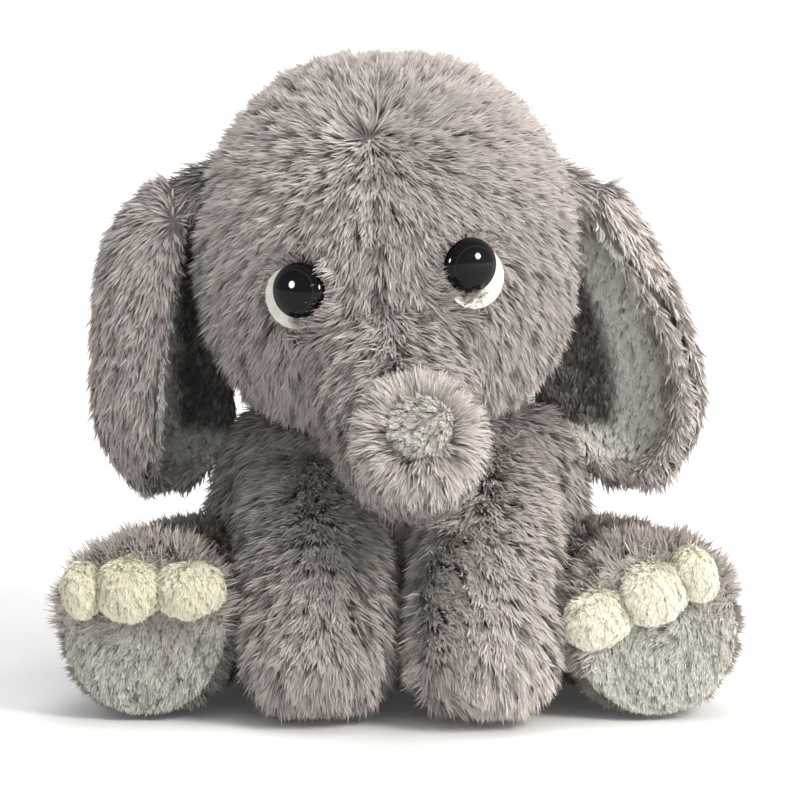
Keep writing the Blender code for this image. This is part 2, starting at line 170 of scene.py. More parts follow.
class Nodes:
    """A node tree being written."""

    def __init__(self, tree: bpy.types.NodeTree) -> None:
        """Starts on a tree.

        Args:
            tree: A shader or geometry tree.
        """
        self.tree = tree

    def add(
        self,
        kind: str,
        settings: dict[str, object] | None = None,
        inputs: dict[str | int, object] | None = None,
    ) -> bpy.types.Node:
        """Adds one node.

        Args:
            kind: The node's type.
            settings: Its own properties, set first.
            inputs: Values or links of its sockets, by name or index.

        Returns:
            The node.
        """
        node = self.tree.nodes.new(kind)
        for name, value in (settings or {}).items():
            setattr(node, name, value)
        for key, value in (inputs or {}).items():
            socket = node.inputs[key]
            value = value.socket if isinstance(value, Num) else value
            if isinstance(value, bpy.types.NodeSocket):
                self.tree.links.new(value, socket)
            else:
                socket.default_value = value
        return node

    def num(self, socket: bpy.types.NodeSocket) -> Num:
        """Wraps a number socket."""
        return Num(self, socket)

    def mix(self, share: "Num | float", first: object, second: object) -> bpy.types.NodeSocket:
        """Mixes two colours.

        Args:
            share: How much of the second, from 0 to 1.
            first: A colour or a link.
            second: A colour or a link.

        Returns:
            The mixed colour.
        """
        made = self.add("ShaderNodeMix", {"data_type": "RGBA"}, {0: share, 6: first, 7: second})
        return made.outputs[2]

    def noise(self, scale: float, detail: float = 2.0, vector: object = None) -> Num:
        """Noise on the object's own coordinates.

        Args:
            scale: Features per metre, about.
            detail: Octaves.
            vector: Coordinates to use in place of the object's own.

        Returns:
            The noise, from 0 to 1.
        """
        if vector is None:
            vector = self.add("ShaderNodeTexCoord").outputs["Object"]
        made = self.add("ShaderNodeTexNoise", {}, {"Vector": vector, "Scale": scale, "Detail": detail})
        return self.num(made.outputs["Fac"])


def new_material(name: str) -> tuple[bpy.types.Material, Nodes, bpy.types.Node]:
    """A material with an untouched principled shader.

    Args:
        name: The material's name.

    Returns:
        The material, its nodes and its shader.
    """
    made = bpy.data.materials.new(name)
    made.use_nodes = True
    nodes = Nodes(made.node_tree)
    return made, nodes, made.node_tree.nodes["Principled BSDF"]


def grey(red: float, green: float, blue: float) -> Colour:
    """A linear colour from display values of 0 to 255.

    Args:
        red: Display red.
        green: Display green.
        blue: Display blue.

    Returns:
        The linear colour.
    """
    return (*(((c / 255 + 0.055) / 1.055) ** 2.4 for c in (red, green, blue)), 1.0)


@dataclass(frozen=True)
class PileFinish:
    """Plush yarn, denser at its root and paler at its tip; its colour darkens towards the root as painted shade deep
    in the pile.
    """

    name: str
    root_dark: Colour
    root_light: Colour
    tip_dark: Colour
    tip_light: Colour
    roughness: float = 0.85
    sheen: float = 0.25

    def build(self) -> bpy.types.Material:
        """Builds the material.

        Returns:
            The material, which reads the pile's map only.
        """
        made, nodes, shader = new_material(self.name)
        uv = nodes.add("ShaderNodeUVMap", {"uv_map": MAP}).outputs["UV"]
        split = nodes.add("ShaderNodeSeparateXYZ", {}, {0: uv})
        tone, along = nodes.num(split.outputs[0]), nodes.num(split.outputs[1])
        # The root colours are darker than the tips: painted shade deep in the pile.
        root = nodes.mix(tone, self.root_dark, self.root_light)
        tip = nodes.mix(tone, self.tip_dark, self.tip_light)
        fibre = nodes.noise(1.0, 3.0, nodes.add(
            "ShaderNodeVectorMath", {"operation": "MULTIPLY"}, {0: uv, 1: (140.0, 9.0, 0.0)}
        ).outputs[0])
        rise = (along + (fibre - 0.5) * 0.25).ramp(0.08, 0.8)
        nodes.tree.links.new(nodes.mix(rise, root, tip), shader.inputs["Base Color"])
        shader.inputs["Roughness"].default_value = self.roughness
        shader.inputs["Specular IOR Level"].default_value = 0.25
        shader.inputs["Sheen Weight"].default_value = self.sheen
        shader.inputs["Sheen Roughness"].default_value = 0.5
        return made


@dataclass(frozen=True)
class FeltFinish:
    """Pressed white felt."""

    name: str = "eye_felt_pressed"
    colour: Colour = grey(238, 237, 228)
    shade: Colour = grey(214, 213, 202)

    def build(self) -> bpy.types.Material:
        """Builds the material.

        Returns:
            Matt felt with fine matted fibres.
        """
        made, nodes, shader = new_material(self.name)
        fibres = nodes.noise(2600.0, 4.0)
        clouds = nodes.noise(220.0, 2.0)
        share = (fibres * 0.6 + clouds * 0.4).ramp(0.35, 0.65)
        nodes.tree.links.new(nodes.mix(share, self.shade, self.colour), shader.inputs["Base Color"])
        bump = nodes.add("ShaderNodeBump", {}, {"Height": fibres, "Strength": 0.35, "Distance": 0.0003})
        nodes.tree.links.new(bump.outputs[0], shader.inputs["Normal"])
        shader.inputs["Roughness"].default_value = 0.92
        return made


@dataclass(frozen=True)
class EyeFinish:
    """Polished black plastic with the moulded disc that shows faintly inside the dome."""

    name: str
    centre: Vector
    radius: float

    def build(self) -> bpy.types.Material:
        """Builds the material.

        Returns:
            Glossy black, with a dark disc and a thin paler arc round it.
        """
        made, nodes, shader = new_material(self.name)
        place = nodes.add("ShaderNodeTexCoord").outputs["Object"]
        reach = nodes.add("ShaderNodeVectorMath", {"operation": "DISTANCE"}, {0: place, 1: self.centre})
        share = nodes.num(reach.outputs["Value"]) / self.radius
        disc = share.ramp(0.60, 0.66, 1.0, 0.0)
        ring = share.ramp(0.73, 0.77) * share.ramp(0.78, 0.83, 1.0, 0.0)
        dust = nodes.noise(900.0, 3.0)
        body = nodes.mix(disc, (0.0015, 0.0015, 0.0018, 1), (0.0035, 0.0035, 0.0037, 1))
        colour = nodes.mix(ring * 0.8, body, (0.016, 0.015, 0.0145, 1))
        nodes.tree.links.new(colour, shader.inputs["Base Color"])
        nodes.tree.links.new((dust.ramp(0.3, 0.8, 0.045, 0.09)).socket, shader.inputs["Roughness"])
        shader.inputs["Specular IOR Level"].default_value = 0.20
        return made


@dataclass(frozen=True)
class PlasticFinish:
    """Plain moulded plastic, for the washers behind the eyes."""

    name: str = "washer_moulded"

    def build(self) -> bpy.types.Material:
        """Builds the material.

        Returns:
            White plastic with a fine moulded grain.
        """
        made, nodes, shader = new_material(self.name)
        grain = nodes.noise(1500.0, 2.0)
        colour = nodes.mix(grain, grey(205, 205, 203), grey(225, 225, 222))
        nodes.tree.links.new(colour, shader.inputs["Base Color"])
        bump = nodes.add("ShaderNodeBump", {}, {"Height": grain, "Strength": 0.2, "Distance": 0.0001})
        nodes.tree.links.new(bump.outputs[0], shader.inputs["Normal"])
        shader.inputs["Roughness"].default_value = 0.45
        return made


@dataclass(frozen=True)
class FloorFinish:
    """A pale painted floor that glows more the further it lies from the toy, as painted light."""

    name: str = "pale_floor"

    def build(self) -> bpy.types.Material:
        """Builds the material.

        Returns:
            A nearly white matt paint with a glow that grows away from the toy, as painted light.
        """
        made, nodes, shader = new_material(self.name)
        paint = nodes.noise(3.0, 2.0)
        colour = nodes.mix(paint, (0.90, 0.90, 0.90, 1), (0.93, 0.93, 0.93, 1))
        nodes.tree.links.new(colour, shader.inputs["Base Color"])
        # Painted light: the floor glows faintly by the toy and more further out.
        place = nodes.add("ShaderNodeTexCoord").outputs["Object"]
        reach = nodes.num(nodes.add("ShaderNodeVectorMath", {"operation": "LENGTH"}, {0: place}).outputs["Value"])
        painted_floor_light = nodes.mix(reach.ramp(0.25, 3.0), (0.03, 0.03, 0.03, 1), (0.6, 0.6, 0.6, 1))
        nodes.tree.links.new(painted_floor_light, shader.inputs["Emission Color"])
        shader.inputs["Emission Strength"].default_value = 1.0
        shader.inputs["Roughness"].default_value = 0.9
        shader.inputs["Specular IOR Level"].default_value = 0.1
        return made


# ---------------------------------------------------------------- forms


def unit(rows: Array) -> Array:
    """Rows scaled to length 1."""
    return rows / np.maximum(np.linalg.norm(rows, axis=-1, keepdims=True), 1e-9)


def step(values: Array, low: float, high: float) -> Array:
    """A smooth step of each value from 0 at low to 1 at high.

    Args:
        values: What is stepped.
        low: Where the step begins; it may be over high.
        high: Where it ends.

    Returns:
        The stepped values.
    """
    t = np.clip((values - low) / (high - low), 0, 1)
    return t * t * (3 - 2 * t)


def metres(*point: float) -> Vector:
    """A point given in millimetres."""
    return Vector(point) * MM


def turn_to(axis: Vector) -> Matrix:
    """Turns +Z to an axis, with +X kept as near to the world's X as it can be.

    Args:
        axis: Where +Z goes.

    Returns:
        The turn.
    """
    axis = axis.normalized()
    side = Vector((1, 0, 0))
    side = (side - side.dot(axis) * axis).normalized()
    return Matrix((side, axis.cross(side), axis)).transposed().to_4x4()


def new_object(name: str, bm: bmesh.types.BMesh) -> bpy.types.Object:
    """A smooth-shaded mesh object at the origin.

    Args:
        name: The object's name.
        bm: Its mesh, in metres, which is freed.

    Returns:
        The object.
    """
    mesh = bpy.data.meshes.new(name)
    bm.to_mesh(mesh)
    bm.free()
    mesh.shade_smooth()
    made = bpy.data.objects.new(name, mesh)
    bpy.context.scene.collection.objects.link(made)
    return made


def apply_modifiers(thing: bpy.types.Object) -> None:
    """Makes an object's evaluated mesh its own, with no modifiers left.

    Args:
        thing: The object.
    """
    graph = bpy.context.evaluated_depsgraph_get()
    made = bpy.data.meshes.new_from_object(thing.evaluated_get(graph))
    old = thing.data
    thing.modifiers.clear()
    thing.data = made
    bpy.data.meshes.remove(old)


def subdivide(thing: bpy.types.Object, levels: int) -> None:
    """Smooths a form by subdivision and applies it.

    Args:
        thing: The form.
        levels: How often each face is divided.
    """
    smooth = thing.modifiers.new("Smooth", "SUBSURF")
    smooth.levels = smooth.render_levels = levels
    apply_modifiers(thing)


def loft(name: str, rings: Sequence[Ring], segments: int = 24) -> bpy.types.Object:
    """A closed form through elliptical rings.

    Args:
        name: The form's name.
        rings: Centre, axis, half width and half depth of each ring, in millimetres.
        segments: Points of a ring.

    Returns:
        The form.
    """
    bm = bmesh.new()
    loops: list[list[bmesh.types.BMEdge]] = []
    for centre, axis, wide, deep in rings:
        place = Matrix.Translation(centre * MM) @ turn_to(axis) @ Matrix.Diagonal((wide * MM, deep * MM, 1, 1))
        made = bmesh.ops.create_circle(bm, segments=segments, radius=1, matrix=place)
        loops.append(list({edge for vert in made["verts"] for edge in vert.link_edges}))
    for lower, upper in zip(loops, loops[1:]):
        bmesh.ops.bridge_loops(bm, edges=lower + upper)
    for end in (loops[0], loops[-1]):
        cap = bmesh.ops.contextual_create(bm, geom=end)
        bmesh.ops.poke(bm, faces=cap["faces"])
    bmesh.ops.recalc_face_normals(bm, faces=bm.faces)
    return new_object(name, bm)


def along_path(rings: Iterable[tuple[tuple[float, float, float], float, float]]) -> list[Ring]:
    """Gives each ring the direction of the path through it.

    Args:
        rings: Centre, half width and half depth of each ring.

    Returns:
        The rings with their axes.
    """
    rings = list(rings)
    places = [Vector(centre) for centre, _, _ in rings]
    last = len(rings) - 1
    found = []
    for index, (_, wide, deep) in enumerate(rings):
        axis = places[min(index + 1, last)] - places[max(index - 1, 0)]
        found.append((places[index], axis.normalized(), wide, deep))
    return found


def ball_start(pivot: Vector, radius: float, towards: Vector) -> list[Ring]:
    """Rings of the ball that a limb's root ends in, from its far pole to its middle.

    Args:
        pivot: The ball's centre.
        radius: Its radius.
        towards: A point along the limb.

    Returns:
        The rings.
    """
    axis = (towards - pivot).normalized()
    rings = []
    for angle in (75, 52, 26, 0):
        turn = math.radians(angle)
        size = radius * math.cos(turn)
        rings.append((pivot - axis * radius * math.sin(turn), axis, size, size))
    return rings


def round_off(ring: Ring, bulge: float) -> list[Ring]:
    """Rings that close a limb with a rounded end.

    Args:
        ring: The limb's last ring.
        bulge: How far the end stands out, as a share of the ring's size.

    Returns:
        The rings.
    """
    centre, axis, wide, deep = ring
    reach = bulge * (wide + deep) / 2
    rings = []
    for angle in (27, 55, 80):
        turn = math.radians(angle)
        size = math.cos(turn) ** 0.8
        rings.append((centre + axis * reach * math.sin(turn), axis, wide * size, deep * size))
    return rings


def shrunk(rings: Iterable[Ring], by: float, ends: tuple[bool, bool] = (True, True)) -> list[Ring]:
    """Rings of the same form, smaller all round.

    Args:
        rings: The form's rings.
        by: How much smaller, in millimetres.
        ends: Whether the first and the last ring also move inwards along their axes.

    Returns:
        The smaller rings.
    """
    made = [(centre.copy(), axis, max(wide - by, 0.8), max(deep - by, 0.8)) for centre, axis, wide, deep in rings]
    if ends[0]:
        centre, axis, wide, deep = made[0]
        made[0] = (centre + axis * by, axis, wide, deep)
    if ends[1]:
        centre, axis, wide, deep = made[-1]
        made[-1] = (centre - axis * by, axis, wide, deep)
    return made


def node_copy(name: str, node: str) -> bpy.types.Object:
    """A new piece from a frame node's own shape, with its loose triangles sewn together.

    Args:
        name: The new piece's name.
        node: The frame's node.

    Returns:
        The piece.
    """
    bm = bmesh.new()
    bm.from_mesh(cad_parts[node].data)
    bmesh.ops.remove_doubles(bm, verts=bm.verts, dist=1e-6)
    bmesh.ops.join_triangles(
        bm, faces=bm.faces, angle_face_threshold=math.radians(50), angle_shape_threshold=math.radians(60)
    )
    return new_object(name, bm)


def grow(thing: bpy.types.Object, by: float) -> None:
    """Moves a form's surface outwards.

    Args:
        thing: The form.
        by: How far, in millimetres; less than 0 moves it inwards.
    """
    move = thing.modifiers.new("Grow", "DISPLACE")
    move.strength = by * MM
    move.mid_level = 0.0
    apply_modifiers(thing)


def resize(thing: bpy.types.Object, share: float, shift: Vector) -> None:
    """Scales a form about its own middle and moves it.

    Args:
        thing: The form.
        share: Its new size, as a share of the old.
        shift: How far it moves, in metres.
    """
    places = [vert.co for vert in thing.data.vertices]
    middle = sum(places, Vector()) / len(places)
    thing.data.transform(Matrix.Translation(middle + shift) @ Matrix.Scale(share, 4) @ Matrix.Translation(-middle))


def pucker(thing: bpy.types.Object, size: float, depth: float) -> None:
    """Gives a form soft dents and folds, as thin plush has over its filling.

    Args:
        thing: The form.
        size: How far apart the folds lie, in millimetres.
        depth: How deep they are, in millimetres.
    """
    for vert in thing.data.vertices:
        vert.co += vert.normal * noise.noise(vert.co / (size * MM)) * depth * MM


def surface_of(node: str) -> BVHTree:
    """A search tree over a frame node's faces.

    Args:
        node: The frame's node.

    Returns:
        The tree.
    """
    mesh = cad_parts[node].data
    return BVHTree.FromPolygons([v.co.copy() for v in mesh.vertices], [tuple(p.vertices) for p in mesh.polygons])


def distance_to(tree: BVHTree, points: Array) -> Array:
    """Distance from each point to a surface."""
    return np.array([tree.find_nearest(Vector(p))[3] for p in points])


def inflate(thing: bpy.types.Object, held: Callable[[Array], Array], cell: float, most: float) -> None:
    """Puffs a form up as its filling does, by a cloth simulation under pressure, then smooths it.

    Args:
        thing: The form, which gets an even mesh.
        held: Tells, from points in millimetres, which of them a seam holds back.
        cell: The size of the even mesh's faces, in millimetres.
        most: The furthest a point may move, in millimetres.
    """
    even = thing.modifiers.new("Even", "REMESH")
    even.mode = "VOXEL"
    even.voxel_size = cell * MM
    apply_modifiers(thing)
    start = Lay.of(thing).points
    group = thing.vertex_groups.new(name="held")
    group.add([int(index) for index in np.flatnonzero(held(start / MM))], 1.0, "REPLACE")
    filling = thing.modifiers.new("Filling", "CLOTH")
    cloth = filling.settings
    cloth.use_pressure = True
    cloth.uniform_pressure_force = PRESSURE
    cloth.vertex_group_mass = group.name
    cloth.effector_weights.gravity = 0.0
    filling.point_cache.frame_start, filling.point_cache.frame_end = 1, SIM_FRAMES
    for number in range(1, SIM_FRAMES + 1):
        bpy.context.scene.frame_set(number)
    apply_modifiers(thing)
    bpy.context.scene.frame_set(1)
    move = Lay.of(thing).points - start
    far = np.linalg.norm(move, axis=1, keepdims=True)
    move *= np.minimum(1.0, most * MM / np.maximum(far, 1e-9))
    thing.data.vertices.foreach_set("co", (start + move).astype(np.float32).ravel())
    thing.vertex_groups.clear()
    subdivide(thing, 1)
    thing.data.shade_smooth()


# ---------------------------------------------------------------- pile


@dataclass
class Coat:
    """How a plush's pile stands on a form. Lengths are in metres."""

    density: float  # locks in a square millimetre
    length: float
    width: float
    lean: float  # degrees from upright
    bend: float = 0.30  # how far a lock's tip curls over, as a share of its length
    clump: float = 0.5  # how far neighbours' tips draw together
    lock_size: float = 0.0045
    stray: float = 0.14  # how far each lock turns from its neighbours
    sweep: float = 0.30  # how far each clump turns from its neighbours
    tone_spread: float = 0.30
    seed: int = 1


@dataclass
class Lay:
    """Which way the pile is brushed over a form, point by point."""

    points: Array
    normals: Array
    flow: Array = field(init=False)
    length: Array = field(init=False)
    density: Array = field(init=False)
    tone: Array = field(init=False)
    upright: Array = field(init=False)

    def __post_init__(self) -> None:
        """Starts with pile that hangs down, of even length and tone."""
        count = len(self.points)
        self.flow = np.tile((0.0, 0.0, -1.0), (count, 1))
        self.length = np.ones(count)
        self.density = np.ones(count)
        self.tone = np.full(count, 0.5)
        self.upright = np.zeros(count)

    @classmethod
    def of(cls, thing: bpy.types.Object) -> "Lay":
        """Reads a form's points and normals.

        Args:
            thing: The form.

        Returns:
            A lay over it.
        """
        count = len(thing.data.vertices)
        points = np.empty(count * 3, np.float32)
        normals = np.empty(count * 3, np.float32)
        thing.data.vertices.foreach_get("co", points)
        thing.data.vertices.foreach_get("normal", normals)
        return cls(points.reshape(-1, 3).astype(float), normals.reshape(-1, 3).astype(float))

    def near(self, place: Vector, inner: float, outer: float) -> Array:
        """1 within a distance of a place, falling to 0 further out.

        Args:
            place: The place.
            inner: The distance up to which it is 1, in metres.
            outer: Where it reaches 0.

        Returns:
            The share of each point.
        """
        return 1 - step(np.linalg.norm(self.points - np.array(place), axis=1), inner, outer)

    def brush(self, direction: Array, share: Array | float = 1.0) -> None:
        """Turns the pile towards a direction.

        Args:
            direction: Where it is brushed, one row for all or one a point.
            share: How much of the turn each point makes.
        """
        direction = unit(np.broadcast_to(direction, self.flow.shape))
        share = np.broadcast_to(share, len(self.flow))[:, None]
        self.flow = unit(self.flow) * (1 - share) + direction * share

    def brush_from(self, place: Vector, share: Array | float = 1.0) -> None:
        """Turns the pile away from a place.

        Args:
            place: The whorl it is brushed away from.
            share: How much of the turn each point makes.
        """
        away = self.points - np.array(place)
        away -= (away * self.normals).sum(1, keepdims=True) * self.normals
        self.brush(away, share)

    def clear_floor(self, coat: "Coat") -> None:
        """Shortens the pile that would reach below the floor.

        Args:
            coat: How the pile stands.
        """
        lean = math.radians(coat.lean) * (1 - self.upright)[:, None]
        aim = unit(np.cos(lean) * self.normals + np.sin(lean) * unit(self.flow))
        drop = np.maximum(0.25 - aim[:, 2], 0.05) * coat.length * 1.15
        room = np.maximum(self.points[:, 2] + 0.3 * MM, 0.4 * MM)
        self.length = np.minimum(self.length, room / drop)

    def write(self, thing: bpy.types.Object) -> None:
        """Stores the lay on the form.

        Args:
            thing: The form it was read from.
        """
        flow = self.flow - (self.flow * self.normals).sum(1, keepdims=True) * self.normals
        made = thing.data.attributes.new("flow", "FLOAT_VECTOR", "POINT")
        made.data.foreach_set("vector", unit(flow).astype(np.float32).ravel())
        for name in ("length", "density", "tone", "upright"):
            values = getattr(self, name).astype(np.float32)
            thing.data.attributes.new("lay_" + name, "FLOAT", "POINT").data.foreach_set("value", values)


def lock_shape(bend: float) -> bpy.types.Object:
    """One lock of pile: a narrow bent kite along +Z, one unit long and wide, curling towards +X.

    Args:
        bend: How far the tip curls over.

    Returns:
        The kite, which is only copied and never shown.
    """
    bm = bmesh.new()
    bmesh.ops.create_grid(bm, x_segments=1, y_segments=2, size=0.5)
    for end in (-0.5, 0.5):
        merged = [vert for vert in bm.verts if abs(vert.co.y - end) < 0.1]
        bmesh.ops.pointmerge(bm, verts=merged, merge_co=(0, end, 0))
    layer = bm.loops.layers.uv.new("lock")
    for face in bm.faces:
        for loop in face.loops:
            loop[layer].uv = (loop.vert.co.x + 0.5, loop.vert.co.y + 0.5)
    for vert in bm.verts:
        along = vert.co.y + 0.5
        vert.co = (bend * along**2, vert.co.x, along)
    return new_object("lock", bm)


class Pile:
    """Plants a coat of pile on a form."""

    def __init__(self, coat: Coat, finish: bpy.types.Material) -> None:
        """Chooses the coat.

        Args:
            coat: How the pile stands.
            finish: The yarn's material.
        """
        self.coat = coat
        self.finish = finish

    def _tree(self, lock: bpy.types.Object, with_form: bool) -> bpy.types.NodeTree:
        """The geometry nodes that plant the locks.

        Args:
            lock: The lock that is copied.
            with_form: Whether the form itself stays.

        Returns:
            The tree.
        """
        coat = self.coat
        tree = bpy.data.node_groups.new("pile", "GeometryNodeTree")
        tree.interface.new_socket("Geometry", in_out="INPUT", socket_type="NodeSocketGeometry")
        tree.interface.new_socket("Geometry", in_out="OUTPUT", socket_type="NodeSocketGeometry")
        nodes = Nodes(tree)
        link = tree.links.new
        source = nodes.add("NodeGroupInput").outputs[0]

        def named(name: str, kind: str = "FLOAT") -> bpy.types.NodeSocket:
            """A value stored on the form."""
            return nodes.add("GeometryNodeInputNamedAttribute", {"data_type": kind}, {"Name": name}).outputs[0]

        def vector(operation: str, first: object, second: object) -> bpy.types.NodeSocket:
            """One Vector Math node."""
            return nodes.add("ShaderNodeVectorMath", {"operation": operation}, {0: first, 1: second}).outputs[0]

        def scaled(value: object, by: object) -> bpy.types.NodeSocket:
            """A vector times a number."""
            return nodes.add("ShaderNodeVectorMath", {"operation": "SCALE"}, {0: value, 3: by}).outputs[0]

        def random(low: float, high: float, seed: int) -> Num:
            """A random number for each lock.

            Args:
                low: The least.
                high: The most.
                seed: Added to the coat's own.

            Returns:
                The number.
            """
            made = nodes.add("FunctionNodeRandomValue", {"data_type": "FLOAT"})
            made.inputs[2].default_value, made.inputs[3].default_value = low, high
            made.inputs["Seed"].default_value = coat.seed * 31 + seed
            return nodes.num(made.outputs[1])

        amount = nodes.num(named("lay_density")) * (coat.density * 1e6)
        planted = nodes.add(
            "GeometryNodeDistributePointsOnFaces", {}, {"Mesh": source, "Density": amount, "Seed": coat.seed}
        )
        normal = planted.outputs["Normal"]
        spot = nodes.add("GeometryNodeInputPosition").outputs[0]
        clump = nodes.add("ShaderNodeTexVoronoi", {}, {"Vector": spot, "Scale": 1 / coat.lock_size})
        to_middle = vector("SUBTRACT", clump.outputs["Position"], spot)
        clump_turn = vector("SUBTRACT", clump.outputs["Color"], (0.5, 0.5, 0.5))
        stray = nodes.add("FunctionNodeRandomValue", {"data_type": "FLOAT_VECTOR"})
        stray.inputs[0].default_value, stray.inputs[1].default_value = (-1,) * 3, (1,) * 3
        stray.inputs["Seed"].default_value = coat.seed * 31 + 7

        upright = nodes.num(named("lay_upright"))
        lean = (1 - upright) * math.radians(coat.lean) * random(0.75, 1.25, 3)
        sine = nodes.num(nodes.add("ShaderNodeMath", {"operation": "SINE"}, {0: lean}).outputs[0])
        cosine = nodes.num(nodes.add("ShaderNodeMath", {"operation": "COSINE"}, {0: lean}).outputs[0])
        flow = named("flow", "FLOAT_VECTOR")
        aim = vector("ADD", scaled(normal, cosine.socket), scaled(flow, sine.socket))
        aim = vector("ADD", aim, scaled(to_middle, coat.clump / coat.length))
        aim = vector("ADD", aim, scaled(clump_turn, coat.sweep * 2))
        aim = vector("ADD", aim, scaled(stray.outputs[0], coat.stray))
        rotation = nodes.add(
            "FunctionNodeAxesToRotation",
            {"primary_axis": "Z", "secondary_axis": "X"},
            {0: aim, 1: vector("ADD", flow, scaled(stray.outputs[0], 0.25))},
        )
        roll = nodes.add(
            "FunctionNodeAxisAngleToRotation", {}, {"Axis": (0, 0, 1), "Angle": random(-0.7, 0.7, 5)}
        )
        rolled = nodes.add(
            "FunctionNodeRotateRotation", {"rotation_space": "LOCAL"}, {0: rotation.outputs[0], 1: roll.outputs[0]}
        )
        tall = nodes.num(named("lay_length")) * coat.length * random(0.72, 1.12, 11)
        size = nodes.add(
            "ShaderNodeCombineXYZ", {}, {0: tall, 1: random(coat.width * 0.7, coat.width * 1.25, 13), 2: tall}
        )
        shape = nodes.add("GeometryNodeObjectInfo", {}, {"Object": lock}).outputs["Geometry"]
        copies = nodes.add(
            "GeometryNodeInstanceOnPoints",
            {},
            {
                "Points": planted.outputs["Points"],
                "Instance": shape,
                "Rotation": rolled.outputs[0],
                "Scale": size.outputs[0],
            },
        )
        clump_tone = nodes.add("ShaderNodeSeparateXYZ", {}, {0: clump.outputs["Color"]}).outputs[2]
        shade = (nodes.num(clump_tone) - 0.5) * coat.tone_spread + random(-0.5, 0.5, 17) * coat.tone_spread
        tone = nodes.num(named("lay_tone")) + shade
        toned = nodes.add(
            "GeometryNodeStoreNamedAttribute",
            {"data_type": "FLOAT", "domain": "INSTANCE"},
            {"Geometry": copies.outputs[0], "Name": "own_tone", "Value": tone},
        )
        real = nodes.add("GeometryNodeRealizeInstances", {}, {0: toned.outputs[0]}).outputs[0]
        strip = nodes.add("ShaderNodeSeparateXYZ", {}, {0: named("lock", "FLOAT_VECTOR")})
        across = (nodes.num(strip.outputs[0]) - 0.5) * 0.012
        held = nodes.add(
            "ShaderNodeClamp", {}, {0: nodes.num(named("own_tone")), 1: 0.02, 2: 0.98}
        ).outputs[0]
        place = nodes.add("ShaderNodeCombineXYZ", {}, {0: nodes.num(held) + across, 1: strip.outputs[1]})
        mapped = nodes.add(
            "GeometryNodeStoreNamedAttribute",
            {"data_type": "FLOAT2", "domain": "CORNER"},
            {"Geometry": real, "Name": MAP, "Value": place.outputs[0]},
        )
        both = nodes.add("GeometryNodeJoinGeometry")
        link(mapped.outputs[0], both.inputs[0])
        if with_form:
            link(source, both.inputs[0])
        dressed = nodes.add("GeometryNodeSetMaterial", {}, {"Geometry": both.outputs[0], "Material": self.finish})
        link(dressed.outputs[0], nodes.add("NodeGroupOutput").inputs[0])
        return tree

    def plant(self, thing: bpy.types.Object, lay: Lay, with_form: bool = True) -> None:
        """Plants the pile and makes it one mesh with the form.

        Args:
            thing: The form, whose own faces show between the locks.
            lay: Which way the pile is brushed over it.
            with_form: Whether the form itself stays.
        """
        lay.clear_floor(self.coat)
        lay.write(thing)
        # The form's own faces take the map's root colour: painted shade that shows between the locks.
        base_map = thing.data.uv_layers.get(MAP) or thing.data.uv_layers.new(name=MAP)
        corners = len(thing.data.loops)
        spots = np.empty((corners, 2), np.float32)
        spots[:, 0] = 0.30 + 0.02 * (np.arange(corners) % 2)
        spots[:, 1] = 0.01 + 0.02 * (np.arange(corners) // 2 % 2)
        base_map.data.foreach_set("uv", spots.ravel())
        thing.data.materials.clear()
        thing.data.materials.append(self.finish)
        lock = lock_shape(self.coat.bend)
        planted = thing.modifiers.new("Pile", "NODES")
        planted.node_group = self._tree(lock, with_form)
        apply_modifiers(thing)
        bpy.data.objects.remove(lock)
        for name in ("flow", "lay_length", "lay_density", "lay_tone", "lay_upright", "own_tone", "lock"):
            found = thing.data.attributes.get(name)
            if found:
                thing.data.attributes.remove(found)
        thing.data.uv_layers[MAP].active = True


def settle(piece: bpy.types.Object, body: str, nodes: Sequence[str]) -> None:
    """Puts a padded piece in the frame and reports it.

    Args:
        piece: The finished piece.
        body: The body it moves with.
        nodes: The frame's nodes it stands for.
    """
    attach(piece, body)
    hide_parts(*nodes)
    LOG.info("%s: %d triangles, on %s", piece.name, len(piece.data.loops) - 2 * len(piece.data.polygons), body)


GREY_YARN = PileFinish(
    "plush_long_grey_pile",
    root_dark=grey(88, 80, 79),
    root_light=grey(146, 138, 135),
    tip_dark=grey(142, 133, 132),
    tip_light=grey(214, 206, 200),
)
SILVER_YARN = PileFinish(
    "plush_short_silver_pile",
    root_dark=grey(112, 104, 102),
    root_light=grey(160, 156, 150),
    tip_dark=grey(150, 141, 138),
    tip_light=grey(226, 224, 214),
)
# A wide range, so the lining's tone can paint shade in the ear's hollow and light on the band by its margin.
LINING_YARN = PileFinish(
    "plush_lining_pile",
    root_dark=grey(40, 37, 35),
    root_light=grey(214, 211, 204),
    tip_dark=grey(70, 65, 61),
    tip_light=grey(254, 251, 244),
)
CREAM_YARN = PileFinish(
    "plush_short_cream_pile",
    root_dark=grey(196, 190, 158),
    root_light=grey(220, 215, 188),
    tip_dark=grey(231, 226, 202),
    tip_light=grey(254, 252, 237),
)


@dataclass
class Yarns:
    """The four plushes, built once."""

    grey: bpy.types.Material
    silver: bpy.types.Material
    lining: bpy.types.Material
    cream: bpy.types.Material


LONG = Coat(density=2.35, length=0.0102, width=0.00100, lean=48, tone_spread=0.27, lock_size=0.0041)
BASE_DEPTH = 4.0  # how far the fabric lies under the middle of the long pile, in mm


